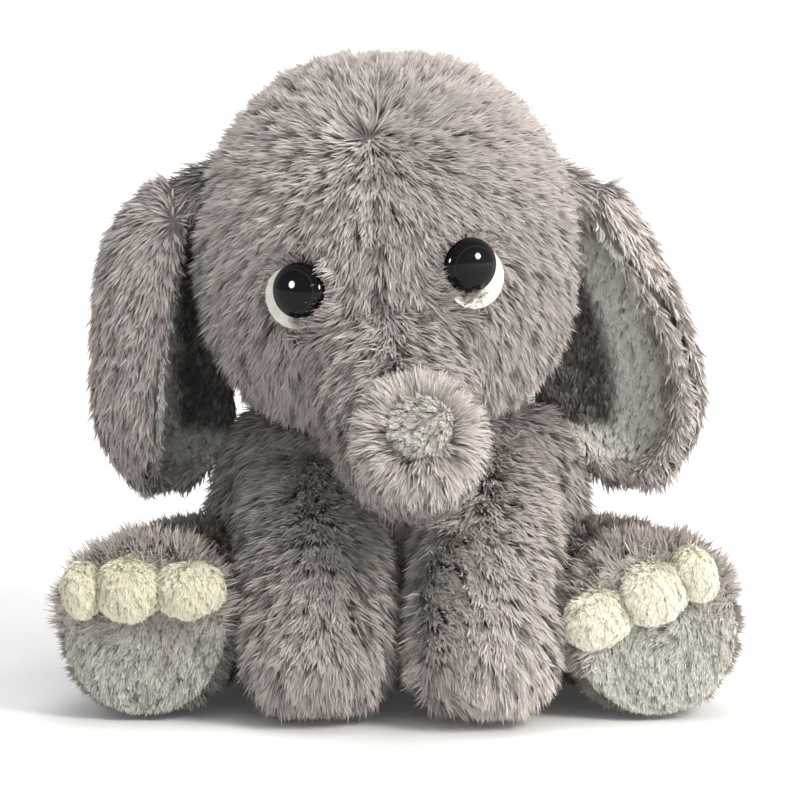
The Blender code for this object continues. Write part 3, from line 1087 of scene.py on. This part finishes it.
@dataclass
class Head:
    """The head: a turned form, brushed away from the crown, with a seam down the forehead."""

    axis: tuple[float, float] = (-5.5, -8)
    rings: tuple[tuple[float, float], ...] = (
        (100, 18), (104, 31), (110, 42.5), (118, 54.5), (127, 63), (140, 71.5), (158, 76),
        (177, 77), (196, 74.5), (214, 68), (229, 58), (241, 45.5), (249, 31), (253.5, 13),
    )
    crown: tuple[float, float, float] = (-12, -55, 220)
    seam_x: float = -9.0
    eyes: dict[Side, tuple[float, float, float]] = field(
        default_factory=lambda: {Side.LEFT: (27, -78, 177.5), Side.RIGHT: (-39, -76, 169)}
    )

    def form(self) -> bpy.types.Object:
        """The stuffed form under the pile.

        Returns:
            The form.
        """
        up = Vector((0, 0, 1))
        rings = [(Vector((*self.axis, z)), up, r, r) for z, r in self.rings]
        made = loft("head_plush", shrunk(rings, BASE_DEPTH), 32)
        subdivide(made, 1)
        inflate(made, self.held, 4.5, 1.6)
        return made

    def held(self, points: Array) -> Array:
        """Which points the forehead seam, the neck and the eyes' shanks hold back.

        Args:
            points: Points on the form, in millimetres.

        Returns:
            True where a point is held.
        """
        x, y, z = points.T
        seam = (np.abs(x - self.seam_x) < 2.5) & (y < -20)
        eyes = [np.linalg.norm(points - np.array(place), axis=1) < 13 for place in self.eyes.values()]
        return seam | (z < 108) | eyes[0] | eyes[1]

    def brush(self, lay: Lay) -> None:
        """Lays the pile.

        Args:
            lay: The lay over the form.
        """
        x, y, z = (lay.points / MM).T
        lay.brush_from(metres(*self.crown))
        lay.brush(np.array((0, 0, -1.0)), 0.35 * step(z, 225, 150))
        seam = np.abs(x - self.seam_x)
        front = step(y, -20, -45)
        beside = (1 - step(seam, 0.5, 9)) * front
        lay.brush(np.stack([np.sign(x - self.seam_x), 0 * x, -1.2 + 0 * x], 1), 0.5 * beside)
        parting = (1 - step(seam, 0.6, 3.2)) * front * step(z, 226, 214)
        # The toy's left side beyond x = 20 mm and its lower right cheek are darker: painted shade.
        lay.tone = 0.5 + 0.14 * step(z, 150, 230) - 0.2 * parting - 0.16 * step(x, 20, 60)
        lay.tone -= 0.14 * step(x, -25, -60) * step(z, 175, 130)
        lay.length = 1 - 0.3 * parting
        crown = lay.near(metres(*self.crown), 0.001, 0.012)
        lay.density = 1 + 1.6 * crown
        lay.tone += 0.25 * crown
        lay.length -= 0.25 * crown
        for side, place in self.eyes.items():
            centre = metres(*place)
            near = lay.near(centre, 0.011, 0.026)
            sideways = (x - place[0]) * side.value
            inner = step(sideways + 0.55 * (z - place[2]), 0, -7)
            lay.brush_from(centre, 0.75 * near * (1 - inner))
            lay.brush(np.array(centre) - lay.points, 0.85 * inner * lay.near(centre, 0.017, 0.026))
            lay.length *= 1 - 0.55 * (1 - inner) * lay.near(centre, 0.012, 0.024)
            lay.length *= 1 + 0.1 * inner * near
            white = (Vector(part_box(f"eye_white_{side.word}")[0]) + Vector(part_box(f"eye_white_{side.word}")[1])) / 2
            lay.density *= 1 - lay.near(centre, 0.0096, 0.0104)
            lay.density *= 1 - lay.near(white, 0.0098, 0.0106) * (1 - 0.6 * inner)
            lay.density *= 1 + 0.8 * inner * lay.near(centre, 0.013, 0.018)
            lay.upright = lay.upright - 0.2 * near * (1 - inner) + 0.38 * inner * lay.near(centre, 0.016, 0.022)
        neck = 1 - step(z, 101, 106)
        lay.density *= 1 - neck

    def build(self, yarns: Yarns) -> None:
        """Builds and dresses the head.

        Args:
            yarns: The plushes.
        """
        piece = self.form()
        lay = Lay.of(piece)
        self.brush(lay)
        Pile(replace(LONG, seed=3), yarns.grey).plant(piece, lay)
        settle(piece, "head", ("head_skin", "head_stuffing"))


@dataclass
class Trunk:
    """The short trunk, brushed towards its tip and away from the patch that closes it."""

    pivot: tuple[float, float, float] = (-3, -63, 137)
    root: float = 34
    rings: tuple[tuple[tuple[float, float, float], float, float], ...] = (
        ((-2, -79, 126), 29.5, 30),
        ((2, -95, 115.5), 28.5, 30),
        ((6, -110, 111.5), 27, 28),
        ((8, -121, 114), 25, 26),
        ((7.6, -128.8, 117.8), 19.5, 20),
        ((7.2, -131.8, 119.4), 14.5, 14.5),
    )
    tip: tuple[float, float, float] = (7.6, -133.6, 123.6)

    def build(self, yarns: Yarns) -> None:
        """Builds and dresses the trunk and its patch.

        Args:
            yarns: The plushes.
        """
        pivot = Vector(self.pivot)
        rings = ball_start(pivot, self.root, Vector(self.rings[0][0])) + along_path(self.rings)
        piece = loft("trunk_plush", shrunk(rings, BASE_DEPTH), 24)
        subdivide(piece, 2)
        lay = Lay.of(piece)
        x, y, z = (lay.points / MM).T
        lay.brush(np.array((0.1, -0.75, -0.65)))
        tip = metres(*self.tip)
        above = step(z, 120, 135)
        off = x - (-6 + (y + 80) * -0.2)
        lay.brush(np.stack([np.clip(off / 8, -1, 1), -0.25 + 0 * x, -0.7 + 0 * x], 1), 0.7 * above)
        near = lay.near(tip, 0.015, 0.031)
        lay.brush_from(tip, near)
        lay.brush(np.array((0, 0, -1.0)), 0.35 * step(z, 112, 100))
        lay.upright = 0.1 * near - 0.2 * above * (1 - near)
        # The ring just outside the fringe is darker: painted shade under the fringe's overhanging pile.
        behind = lay.near(tip, 0.030, 0.040) * (1 - near)
        lay.tone = 0.6 + 0.38 * near - 0.16 * behind
        lay.length = 1 + 0.05 * near
        seam = (1 - step(np.abs(off), 0.6, 3.0)) * above * (1 - near)
        lay.tone -= 0.2 * seam
        lay.density *= 1 - lay.near(tip, 0.0088, 0.0102)
        lay.density *= step(y, -40, -48)
        Pile(replace(LONG, seed=6, density=3.2), yarns.grey).plant(piece, lay)
        settle(piece, "trunk", ("trunk_skin", "trunk_stuffing"))

        patch = node_copy("trunk_tip_pile", "trunk_tip_patch")
        subdivide(patch, 2)
        resize(patch, 0.84, metres(0.6, 0.3, 2.8))
        lay = Lay.of(patch)
        lay.brush_from(metres(18, -134, 130))
        lay.tone[:] = 0.56
        coat = Coat(
            density=9, length=0.0026, width=0.0006, lean=62, clump=0.55, lock_size=0.0022, sweep=0.26, seed=7,
            tone_spread=0.45,
        )
        Pile(coat, yarns.silver).plant(patch, lay)
        settle(patch, "trunk", ("trunk_tip_patch",))


@dataclass
class Torso:
    """The body, brushed down."""

    rings: tuple[tuple[float, float, float, float], ...] = (
        (0.0, 12, 40, 36), (5.0, 11, 55, 48), (16, 10, 68, 58), (34, 8, 75, 63),
        (58, 6, 76, 62), (82, 4, 73, 57), (102, 2, 65, 50), (114, 1, 55, 43),
    )
    depth: float = 1.0

    def build(self, yarns: Yarns) -> None:
        """Builds and dresses the body.

        Args:
            yarns: The plushes.
        """
        up = Vector((0, 0, 1))
        rings = [(Vector((0, cy, z)), up, wide, deep) for z, cy, wide, deep in self.rings]
        piece = loft("body_plush", shrunk(rings, self.depth), 32)
        subdivide(piece, 2)
        lay = Lay.of(piece)
        x, _, z = (lay.points / MM).T
        lay.brush(np.stack([np.sign(x) * 0.25, 0 * x, -1 + 0 * x], 1))
        lay.tone[:] = 0.42
        lay.density *= step(z, 2, 9) * (1 - 0.9 * step(z, 104, 110))
        Pile(replace(LONG, seed=9), yarns.grey).plant(piece, lay)
        settle(piece, "body", ("body_skin", "body_stuffing", "pellet_bag"))


@dataclass
class FrontLeg:
    """A front leg, brushed down from the shoulder, with a seam over the paw."""

    side: Side
    pivot: tuple[float, float, float]
    rings: tuple[tuple[tuple[float, float, float], float, float], ...]
    seam: tuple[tuple[float, float], ...] = ()  # height and x of the seam over the paw
    root: float = 26

    def build(self, yarns: Yarns) -> None:
        """Builds and dresses the leg.

        Args:
            yarns: The plushes.
        """
        word = self.side.word
        tube = along_path(self.rings)
        rings = ball_start(Vector(self.pivot), self.root, tube[0][0]) + tube + round_off(tube[-1], 0.9)
        piece = loft(f"front_leg_{word}_plush", shrunk(rings, BASE_DEPTH), 24)
        subdivide(piece, 2)
        lay = Lay.of(piece)
        x, y, z = (lay.points / MM).T
        outward = x - self.rings[-1][0][0]
        # Paler towards the toy's left, the side the key light falls on: painted light.
        lay.tone = 0.62 + 0.26 * step(x, -30, 30)
        lay.brush(np.stack([outward * 0.02, -0.2 + 0 * x, -1 + 0 * x], 1))
        if self.seam:
            heights, places = zip(*self.seam)
            off = x - np.interp(z, heights, places)
            front = step(y, -70, -92)
            lay.brush(np.stack([np.sign(off), 0 * x, -0.35 + 0 * x], 1), 0.85 * front * (1 - step(np.abs(off), 3, 26)))
            line = front * (1 - step(np.abs(off), 0.4, 1.8))
            lay.tone -= 0.1 * line
            lay.length -= 0.2 * line
        lay.density *= step(y, -20, -34)
        Pile(replace(LONG, seed=11 + self.side.value, density=2.7), yarns.grey).plant(piece, lay)
        nodes = (f"front_leg_{word}_skin", f"front_leg_{word}_stuffing")
        settle(piece, f"front_leg_{word}", nodes)


@dataclass
class RearLeg:
    """A rear leg with its short-pile sole and three puffy toes."""

    side: Side
    toe_row: float  # degrees that the row of toes slopes, rising outwards
    pivot: tuple[float, float, float] = (62, 12, 35)
    rings: tuple[tuple[tuple[float, float, float], float, float], ...] = (
        ((77, -14, 35), 28.5, 32),
        ((92, -42, 35), 30.5, 33.5),
        ((98, -66, 35), 31, 34),
        ((99.5, -85, 35.5), 32, 33),
    )
    root: float = 28

    def build(self, yarns: Yarns) -> None:
        """Builds and dresses the leg, its sole and its toes.

        Args:
            yarns: The plushes.
        """
        hand = self.side.value
        tube = along_path([((hand * x, y, z), wide, deep) for (x, y, z), wide, deep in self.rings])
        self.leg(yarns, tube)
        self.sole(yarns, tube[-1][0], tube[-1][1])
        for number in (1, 2, 3):
            self.toe(yarns, number, tube[-1][1])

    def leg(self, yarns: Yarns, tube: list[Ring]) -> None:
        """Builds and dresses the leg itself.

        Args:
            yarns: The plushes.
            tube: The leg's rings outside its root.
        """
        word, hand = self.side.word, self.side.value
        pivot = Vector((hand * self.pivot[0], *self.pivot[1:]))
        rings = ball_start(pivot, self.root, tube[0][0]) + tube
        piece = loft(f"rear_leg_{word}_plush", shrunk(rings, 2.5, (True, False)), 24)
        subdivide(piece, 2)
        lay = Lay.of(piece)
        x, y, z = (lay.points / MM).T
        centre, axis = tube[-1][0], tube[-1][1]
        ahead = ((lay.points / MM) - np.array(centre)) @ np.array(axis)
        off = (lay.points / MM) - np.array(centre) - ahead[:, None] * np.array(axis)
        ring = step(ahead, -20, -6)
        lay.brush(np.array(axis) + np.array((0, 0, -0.35)))
        lay.brush(unit(off) * 0.5 + np.array(axis), ring)
        lay.brush(unit(off), 0.85 * step(ahead, -9, -3) * (1 - 0.6 * step(z, 42, 58)))
        above = ring * step(z, 42, 58)
        for number in (1, 2, 3):
            low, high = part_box(f"rear_leg_{word}_toe_{number}")
            above = np.maximum(above, ring * lay.near((Vector(low) + Vector(high)) / 2, 0.016, 0.026))
        lay.upright = 0.75 * ring - 0.12 * above
        lay.length = 1 - 0.25 * ring * step(ahead, -7, -2) + 0.7 * above
        face = step(ahead, -2.5, -0.5) * (1 - step(np.linalg.norm(off, axis=1), 26, 29))
        lay.density *= 1 - face
        lay.density *= np.maximum(step(y, 6, -4), step(np.abs(x), 60, 68))
        lay.density *= 1 + 0.4 * above
        # The ring round the foot and the pile over the toes are paler: painted light that lifts the shade there.
        lay.tone = 0.5 + 0.15 * ring + 0.3 * above
        Pile(replace(LONG, seed=21 + hand), yarns.grey).plant(piece, lay)
        nodes = (f"rear_leg_{word}_skin", f"rear_leg_{word}_stuffing")
        settle(piece, f"rear_leg_{word}", nodes)

    def sole(self, yarns: Yarns, centre: Vector, axis: Vector) -> None:
        """Builds and dresses the sole.

        Args:
            yarns: The plushes.
            centre: The middle of the leg's end, in millimetres.
            axis: The leg's direction there.
        """
        word, hand = self.side.word, self.side.value
        sole = node_copy(f"rear_leg_{word}_sole_pile", f"rear_leg_{word}_sole")
        subdivide(sole, 2)
        pucker(sole, 13, 1.2)
        lay = Lay.of(sole)
        x, _, z = (lay.points / MM).T
        lay.brush(np.array((0.15 * hand, 0, -1.0)))
        lay.brush(np.array((-1.0, 0, -0.25)), 0.75 * step(z, 36, 50))
        whorl = Vector(centre * MM) + metres(9 * hand, -6, 4)
        away = lay.points - np.array(whorl)
        lay.brush(np.cross(away, np.array(axis)) + 0.6 * away, 0.55 * lay.near(whorl, 0.010, 0.024))
        lay.density *= step(lay.normals @ np.array(axis), -0.2, 0.2)
        # The left sole is paler and the right darker: painted light and shade of the key light on the toy's left.
        lay.tone = 0.55 + 0.12 * hand + 0.22 * step(z, 45, 12) + 0.12 * np.sin(x * 0.35 + z * 0.2)
        coat = Coat(
            density=8, length=0.0034, width=0.00068, lean=72, clump=0.35, lock_size=0.003, sweep=0.16,
            tone_spread=0.34, seed=31 + hand,
        )
        Pile(coat, yarns.silver).plant(sole, lay)
        settle(sole, f"rear_leg_{word}", (f"rear_leg_{word}_sole",))

    def toe(self, yarns: Yarns, number: int, axis: Vector) -> None:
        """Builds and dresses a toe.

        Args:
            yarns: The plushes.
            number: Which toe, from 1.
            axis: The leg's direction at its end.
        """
        hand = self.side.value
        node = f"rear_leg_{self.side.word}_toe_{number}"
        toe = node_copy(node + "_pile", node)
        subdivide(toe, 2)
        low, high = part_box(node)
        middle = (Vector(low) + Vector(high)) / 2
        slope = math.radians(self.toe_row) * -hand
        along = Matrix.Rotation(slope, 4, "Y")
        spread = along @ Matrix.Diagonal((1.15, 1.08, 0.95, 1)) @ Matrix.Rotation(-slope, 4, "Y")
        toe.data.transform(Matrix.Translation(middle) @ spread @ Matrix.Translation(-middle))
        grow(toe, 0.7)
        pucker(toe, 7.5, 1.1)
        lay = Lay.of(toe)
        lay.density *= step(lay.normals @ np.array(axis), -0.8, -0.6)
        # The left toes are paler and the right darker: painted light and shade of the key light on the toy's left.
        lay.tone[:] = 0.6 + 0.25 * hand
        coat = Coat(
            density=11, length=0.0026, width=0.0006, lean=66, clump=0.3, lock_size=0.003, tone_spread=0.22,
            sweep=0.12, seed=41 + hand * 3 + number,
        )
        Pile(coat, yarns.cream).plant(toe, lay)
        settle(toe, f"rear_leg_{self.side.word}", (node,))


@dataclass
class Ear:
    """A floppy ear: a long-pile back curled round a short-pile lining."""

    side: Side
    whorl: tuple[float, float, float]
    band: tuple[float, float] = (9, 24)  # from the margin: end of the hem, end of the band painted light, in mm
    # Lining tones: on the band by the margin, painted light; deeper in the hollow, painted shade.
    bright: float = 0.85
    dim: float = 0.1
    tuck: float = 2.0  # how far the ear is drawn in towards the head, in mm
    stretch: float = 1.18  # how much wider its panels are, measured from the outer edge
    # Reach from the middle plane, y, height and half width of the fold at the ear's top, in mm.
    fold: tuple[tuple[float, float, float, float], ...] = (
        (58, 0, 203, 4), (66, -1, 203, 7.5), (76, -2, 200, 7.5), (86, -4, 194, 6), (94, -6, 184, 3),
    )

    def margin(self, lay: Lay) -> Array:
        """How far each point of the lining lies from the ear's front margin.

        Args:
            lay: The lay over the lining.

        Returns:
            The distances in millimetres, measured straight across the ear.
        """
        x, _, z = (lay.points / MM).T
        across = x * self.side.value
        levels = np.linspace(z.min(), z.max(), 25)
        outer = [across[np.abs(z - level) < 4].max(initial=across.max() - 30) for level in levels]
        sideways = np.interp(z, levels, outer) - across
        return np.minimum(sideways, (z - z.min()) * 1.2)

    def build(self, yarns: Yarns) -> None:
        """Builds and dresses both panels and the fold.

        Args:
            yarns: The plushes.
        """
        hand = self.side.value
        flat = replace(LONG, seed=51 + hand, lean=70, sweep=0.22, clump=0.35)
        self.back(yarns, flat)
        self.lining(yarns, replace(flat, seed=65 + hand, lean=62))
        self.roll(yarns)

    def back(self, yarns: Yarns, coat: Coat) -> None:
        """Builds and dresses the back panel.

        Args:
            yarns: The plushes.
            coat: Its pile.
        """
        word, hand = self.side.word, self.side.value
        node = f"ear_{word}_back"
        back = node_copy(f"ear_{word}_back_plush", node)
        subdivide(back, 2)
        covered = 1 - step(distance_to(surface_of(f"ear_{word}_lining"), Lay.of(back).points), 0.0012, 0.0030)
        grow(back, -2.2)
        lay = Lay.of(back)
        lay.brush_from(metres(*self.whorl), 0.75)
        lay.brush(np.array((0.15 * hand, -0.1, -1.0)), 0.4)
        lay.density *= 1 - covered
        # The left ear's back is paler where it faces the front: painted light.
        lay.tone = 0.5 + (0.5 if self.side is Side.LEFT else 0.0) * step(lay.normals[:, 1], 0.1, -0.5)
        lay.length[:] = 0.82
        Pile(coat, yarns.grey).plant(back, lay)
        self.sew(back, (node,))

    def lining(self, yarns: Yarns, hem_coat: Coat) -> None:
        """Builds and dresses the lining, and the long pile that laps over its margin.

        Args:
            yarns: The plushes.
            hem_coat: The pile along the margin.
        """
        word, hand = self.side.word, self.side.value
        node = f"ear_{word}_lining"
        lining = node_copy(f"ear_{word}_lining_pile", node)
        subdivide(lining, 2)
        lay = Lay.of(lining)
        covered = 1 - step(distance_to(surface_of(f"ear_{word}_back"), lay.points), 0.0006, 0.0018)
        inside = step(covered, 0.6, 0.3)
        lay.density *= inside * step(lay.points[:, 2] / MM, 191, 185)
        margin = self.margin(lay)
        # Painted light on the band by the margin and painted shade deeper in the ear's hollow.
        lay.tone = self.dim + (self.bright - self.dim) * step(margin, self.band[1] + 5, self.band[1] - 3)
        coat = Coat(
            density=4.5, length=0.0040, width=0.00072, lean=62, clump=0.45, lock_size=0.003, seed=61 + hand,
            tone_spread=0.22,
        )
        hem = lining.copy()
        hem.data = lining.data.copy()
        bpy.context.scene.collection.objects.link(hem)
        Pile(coat, yarns.lining).plant(lining, lay)
        self.sew(lining, (node,))

        hem.name = f"ear_{word}_hem"
        lay = Lay.of(hem)
        lay.brush(np.array((0.55 * hand, -0.3, -0.8)))
        lay.density = inside * (1 - step(margin, self.band[0] - 1.5, self.band[0] + 1.5))
        # The left ear's hem is paler than the right's: painted light on the side the key light falls on.
        lay.tone[:] = 0.92 if self.side is Side.LEFT else 0.62
        lay.length[:] = 0.8
        Pile(hem_coat, yarns.grey).plant(hem, lay, False)
        self.sew(hem, ())

    def sew(self, piece: bpy.types.Object, nodes: Sequence[str]) -> None:
        """Draws a finished panel in towards the head and puts it in the frame.

        Args:
            piece: The panel.
            nodes: The frame's nodes it stands for.
        """
        reach = max(abs(corner[0]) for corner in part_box(f"ear_{self.side.word}_back")) * self.side.value
        outer = Vector((reach, 0, 0))
        wider = Matrix.Diagonal((self.stretch, 1, 1, 1))
        drawn = Matrix.Translation(metres(-self.tuck * self.side.value, 0, 0))
        piece.data.transform(drawn @ Matrix.Translation(outer) @ wider @ Matrix.Translation(-outer))
        settle(piece, f"ear_{self.side.word}", nodes)

    def roll(self, yarns: Yarns) -> None:
        """Builds the rolled fold at the ear's top, where it is gathered and sewn to the head.

        Args:
            yarns: The plushes.
        """
        word, hand = self.side.word, self.side.value
        path = [((hand * across, y, z), wide, wide) for across, y, z, wide in self.fold]
        roll = loft(f"ear_{word}_fold_plush", along_path(path), 16)
        subdivide(roll, 2)
        lay = Lay.of(roll)
        lay.brush(np.array((0.7 * hand, -0.2, -0.7)))
        # The left fold is paler than the right: painted light.
        lay.tone[:] = 0.62 + 0.1 * hand
        Pile(replace(LONG, seed=81 + hand, lean=58), yarns.grey).plant(roll, lay)
        self.sew(roll, ())


@dataclass
class Tail:
    """The thin tail and the tuft at its end."""

    def build(self, yarns: Yarns) -> None:
        """Builds and dresses the tail.

        Args:
            yarns: The plushes.
        """
        for node, length, width in (("tail_skin", 0.005, 0.0007), ("tail_tuft", 0.010, 0.0008)):
            piece = node_copy(node.replace("skin", "cord") + "_plush", node)
            subdivide(piece, 2)
            lay = Lay.of(piece)
            lay.tone[:] = 0.5
            coat = Coat(density=3, length=length, width=width, lean=62, seed=71 + len(node))
            Pile(coat, yarns.grey).plant(piece, lay)
            settle(piece, "tail", (node,))


@dataclass
class Eye:
    """A domed safety eye over its felt white."""

    side: Side
    plane: Matrix
    radius: float = 11.0
    front: float = 1.6
    rim: float = 1.2
    dome: float = 6.0

    def build(self) -> None:
        """Builds the dome, gives it its black finish and puts it on the head in place of the frame's eye."""
        word = self.side.word
        bm = bmesh.new()
        profile = [(2.0, -8.5), (2.0, self.front), (self.radius - 0.4, self.front), (self.radius, self.front + 0.4)]
        for index in range(17):
            angle = math.radians(90) * index / 16
            profile.append((self.radius * math.cos(angle), self.front + self.rim + self.dome * math.sin(angle)))
        verts = [bm.verts.new((radius * MM, 0, height * MM)) for radius, height in profile]
        edges = [bm.edges.new(pair) for pair in zip(verts, verts[1:])]
        bmesh.ops.spin(
            bm, geom=verts + edges, cent=(0, 0, 0), axis=(0, 0, 1), angle=math.tau, steps=64, use_merge=True
        )
        bmesh.ops.remove_doubles(bm, verts=bm.verts, dist=1e-6)
        bmesh.ops.holes_fill(bm, edges=[edge for edge in bm.edges if edge.is_boundary])
        bmesh.ops.recalc_face_normals(bm, faces=bm.faces)
        bm.transform(self.plane)
        eye = new_object(f"eye_{word}_dome", bm)
        eye.data.set_sharp_from_angle(angle=math.radians(40))
        centre = self.plane @ Vector((0, 0, (self.front + self.rim + self.dome) * MM))
        eye.data.materials.append(EyeFinish(f"eye_black_{word}", centre, self.radius * MM).build())
        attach(eye, "head")
        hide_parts(f"eye_{word}")
        LOG.info("%s: %d faces", eye.name, len(eye.data.polygons))


def eye_plane(head: Head, side: Side) -> Matrix:
    """The flat seat an eye lies on, read from the frame: its white's own disc.

    Args:
        head: The head.
        side: Which eye.

    Returns:
        The seat's plane, with +Z out of the face.
    """
    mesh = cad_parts[f"eye_{side.word}"].data
    places = np.array([v.co for v in mesh.vertices])
    middle = np.array(metres(*head.eyes[side]))
    hub = np.array((head.axis[0] * MM, head.axis[1] * MM, middle[2]))
    out = unit(middle - hub)
    tip = places[np.argmax(places @ out)]
    near_tip = places[np.linalg.norm(places - tip, axis=1) < 0.004]
    shank = places[np.argsort(places @ out)[:12]].mean(0)
    axis = Vector(near_tip.mean(0) - shank).normalized()
    height = max(((Vector(p) - Vector(shank)).dot(axis) for p in places))
    origin = Vector(shank) + axis * (height - 8.8 * MM)
    return Matrix.Translation(origin) @ turn_to(axis)


def dress_hidden_pieces() -> None:
    """Gives the felt whites and the washers their finishes."""
    felt, plastic = FeltFinish().build(), PlasticFinish().build()
    for side in Side:
        for node, finish in ((f"eye_white_{side.word}", felt), (f"eye_washer_{side.word}", plastic)):
            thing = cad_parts[node]
            for slot in thing.material_slots:
                slot.material = finish
            LOG.info("%s: %s", node, finish.name)


@dataclass
class Studio:
    """Plain pale floor, soft lights and the camera."""

    target: tuple[float, float, float] = (0, 0, 0.1144)
    distance: float = 2.0
    elevation: float = 8.0
    lens: float = 221.7

    def floor(self) -> None:
        """Lays the floor."""
        bm = bmesh.new()
        bmesh.ops.create_grid(bm, x_segments=4, y_segments=4, size=6)
        floor = new_object("floor", bm)
        floor.data.materials.append(FloorFinish().build())

    def light(
        self, name: str, place: Vector, size: float, power: float, colour: tuple[float, float, float]
    ) -> bpy.types.Object:
        """Hangs one soft light that faces the toy.

        Args:
            name: The light's name.
            place: Where it hangs.
            size: Its width.
            power: Its power in watts.
            colour: Its colour.

        Returns:
            The lamp.
        """
        data = bpy.data.lights.new(name, "AREA")
        data.shape = "DISK"
        data.size = size
        data.energy = power
        data.color = colour
        lamp = bpy.data.objects.new(name, data)
        lamp.location = place
        lamp.rotation_euler = (Vector(self.target) - place).to_track_quat("-Z", "Y").to_euler()
        bpy.context.scene.collection.objects.link(lamp)
        return lamp

    def surroundings(self) -> bpy.types.World:
        """White studio walls, brightest behind the toy and dimmer on its right.

        Returns:
            The world.
        """
        world = bpy.data.worlds.new("studio_white")
        world.use_nodes = True
        nodes = Nodes(world.node_tree)
        way = nodes.add("ShaderNodeSeparateXYZ", {}, {0: nodes.add("ShaderNodeTexCoord").outputs["Generated"]})
        behind = nodes.num(way.outputs[1]).ramp(0.0, 0.9)
        right = nodes.num(way.outputs[0]).ramp(-1.0, 1.0)
        strength = behind * 0.55 + right * (1 - behind) * 0.36 + 0.46
        world.node_tree.links.new(strength.socket, world.node_tree.nodes["Background"].inputs["Strength"])
        world.node_tree.nodes["Background"].inputs["Color"].default_value = (1.0, 1.0, 1.0, 1)
        return world

    def build(self) -> None:
        """Builds floor, lights, surroundings and camera."""
        self.floor()
        key = self.light("key_soft", Vector((1.5, -1.3, 1.5)), 0.9, 35, (1.0, 0.97, 0.93))
        top = self.light("top_soft", Vector((0.1, -0.2, 2.2)), 1.2, 15, (1.0, 0.99, 0.97))
        side = self.light("side_soft", Vector((2.0, -0.35, 0.45)), 0.8, 13, (1.0, 0.98, 0.95))
        for lamp in (key, top, side):
            lamp.visible_glossy = False
        for name, across in (("glint_left", 1.0), ("glint_right", -1.0)):
            turn = math.radians(54) * across
            place = Vector((math.sin(turn) * 1.6, -math.cos(turn) * 1.6, 0.52))
            self.light(name, place, 0.40, 30, (1.0, 1.0, 1.0)).visible_diffuse = False
        bpy.context.scene.world = self.surroundings()
        data = bpy.data.cameras.new("camera")
        data.lens = self.lens
        data.sensor_width = 36
        data.clip_end = 50
        camera = bpy.data.objects.new("camera", data)
        rise = math.radians(self.elevation)
        away = Vector((0, -math.cos(rise), math.sin(rise)))
        camera.location = Vector(self.target) + away * self.distance
        camera.rotation_euler = (-away).to_track_quat("-Z", "Y").to_euler()
        bpy.context.scene.collection.objects.link(camera)
        bpy.context.scene.camera = camera
        bpy.context.scene.view_settings.view_transform = "Standard"


FRONT_LEGS = (
    FrontLeg(
        Side.LEFT,
        (36, -31, 80),
        (((35, -54, 69), 28.5, 26), ((33, -77, 53), 30, 28), ((32.2, -92, 29), 31, 29)),
        seam=((8, 14), (14, 12), (38, 10), (64, 12), (72, 16)),
    ),
    FrontLeg(
        Side.RIGHT,
        (-36, -31, 78),
        (((-35, -52, 67), 28.5, 26), ((-32.5, -73, 52), 30, 28), ((-32, -87, 28.5), 30.5, 29)),
    ),
)


def main() -> None:
    """Builds every sub-assembly in order."""
    logging.basicConfig(level=logging.INFO, format="%(name)s %(message)s")
    yarns = Yarns(GREY_YARN.build(), SILVER_YARN.build(), LINING_YARN.build(), CREAM_YARN.build())
    head = Head()
    head.build(yarns)
    Trunk().build(yarns)
    Torso().build(yarns)
    for leg in FRONT_LEGS:
        leg.build(yarns)
    RearLeg(Side.LEFT, 25).build(yarns)
    RearLeg(Side.RIGHT, -1).build(yarns)
    fold = ((62, 0, 201, 4), (70, -1, 203, 7), (80, -2, 203, 7.5), (90, -5, 198, 6.5), (99, -9, 190, 3))
    # Each lining is painted light on the band by its margin and painted shade deeper in its hollow.
    Ear(Side.RIGHT, (-94, -30, 193), bright=0.62, dim=0.02, tuck=3.0, stretch=1.09, fold=fold).build(yarns)
    Ear(Side.LEFT, (80, 0, 203), bright=0.97, dim=0.03).build(yarns)
    Tail().build(yarns)
    for side in Side:
        Eye(side, eye_plane(head, side)).build()
    dress_hidden_pieces()
    Studio().build()


if __name__ == "__main__":
    main()
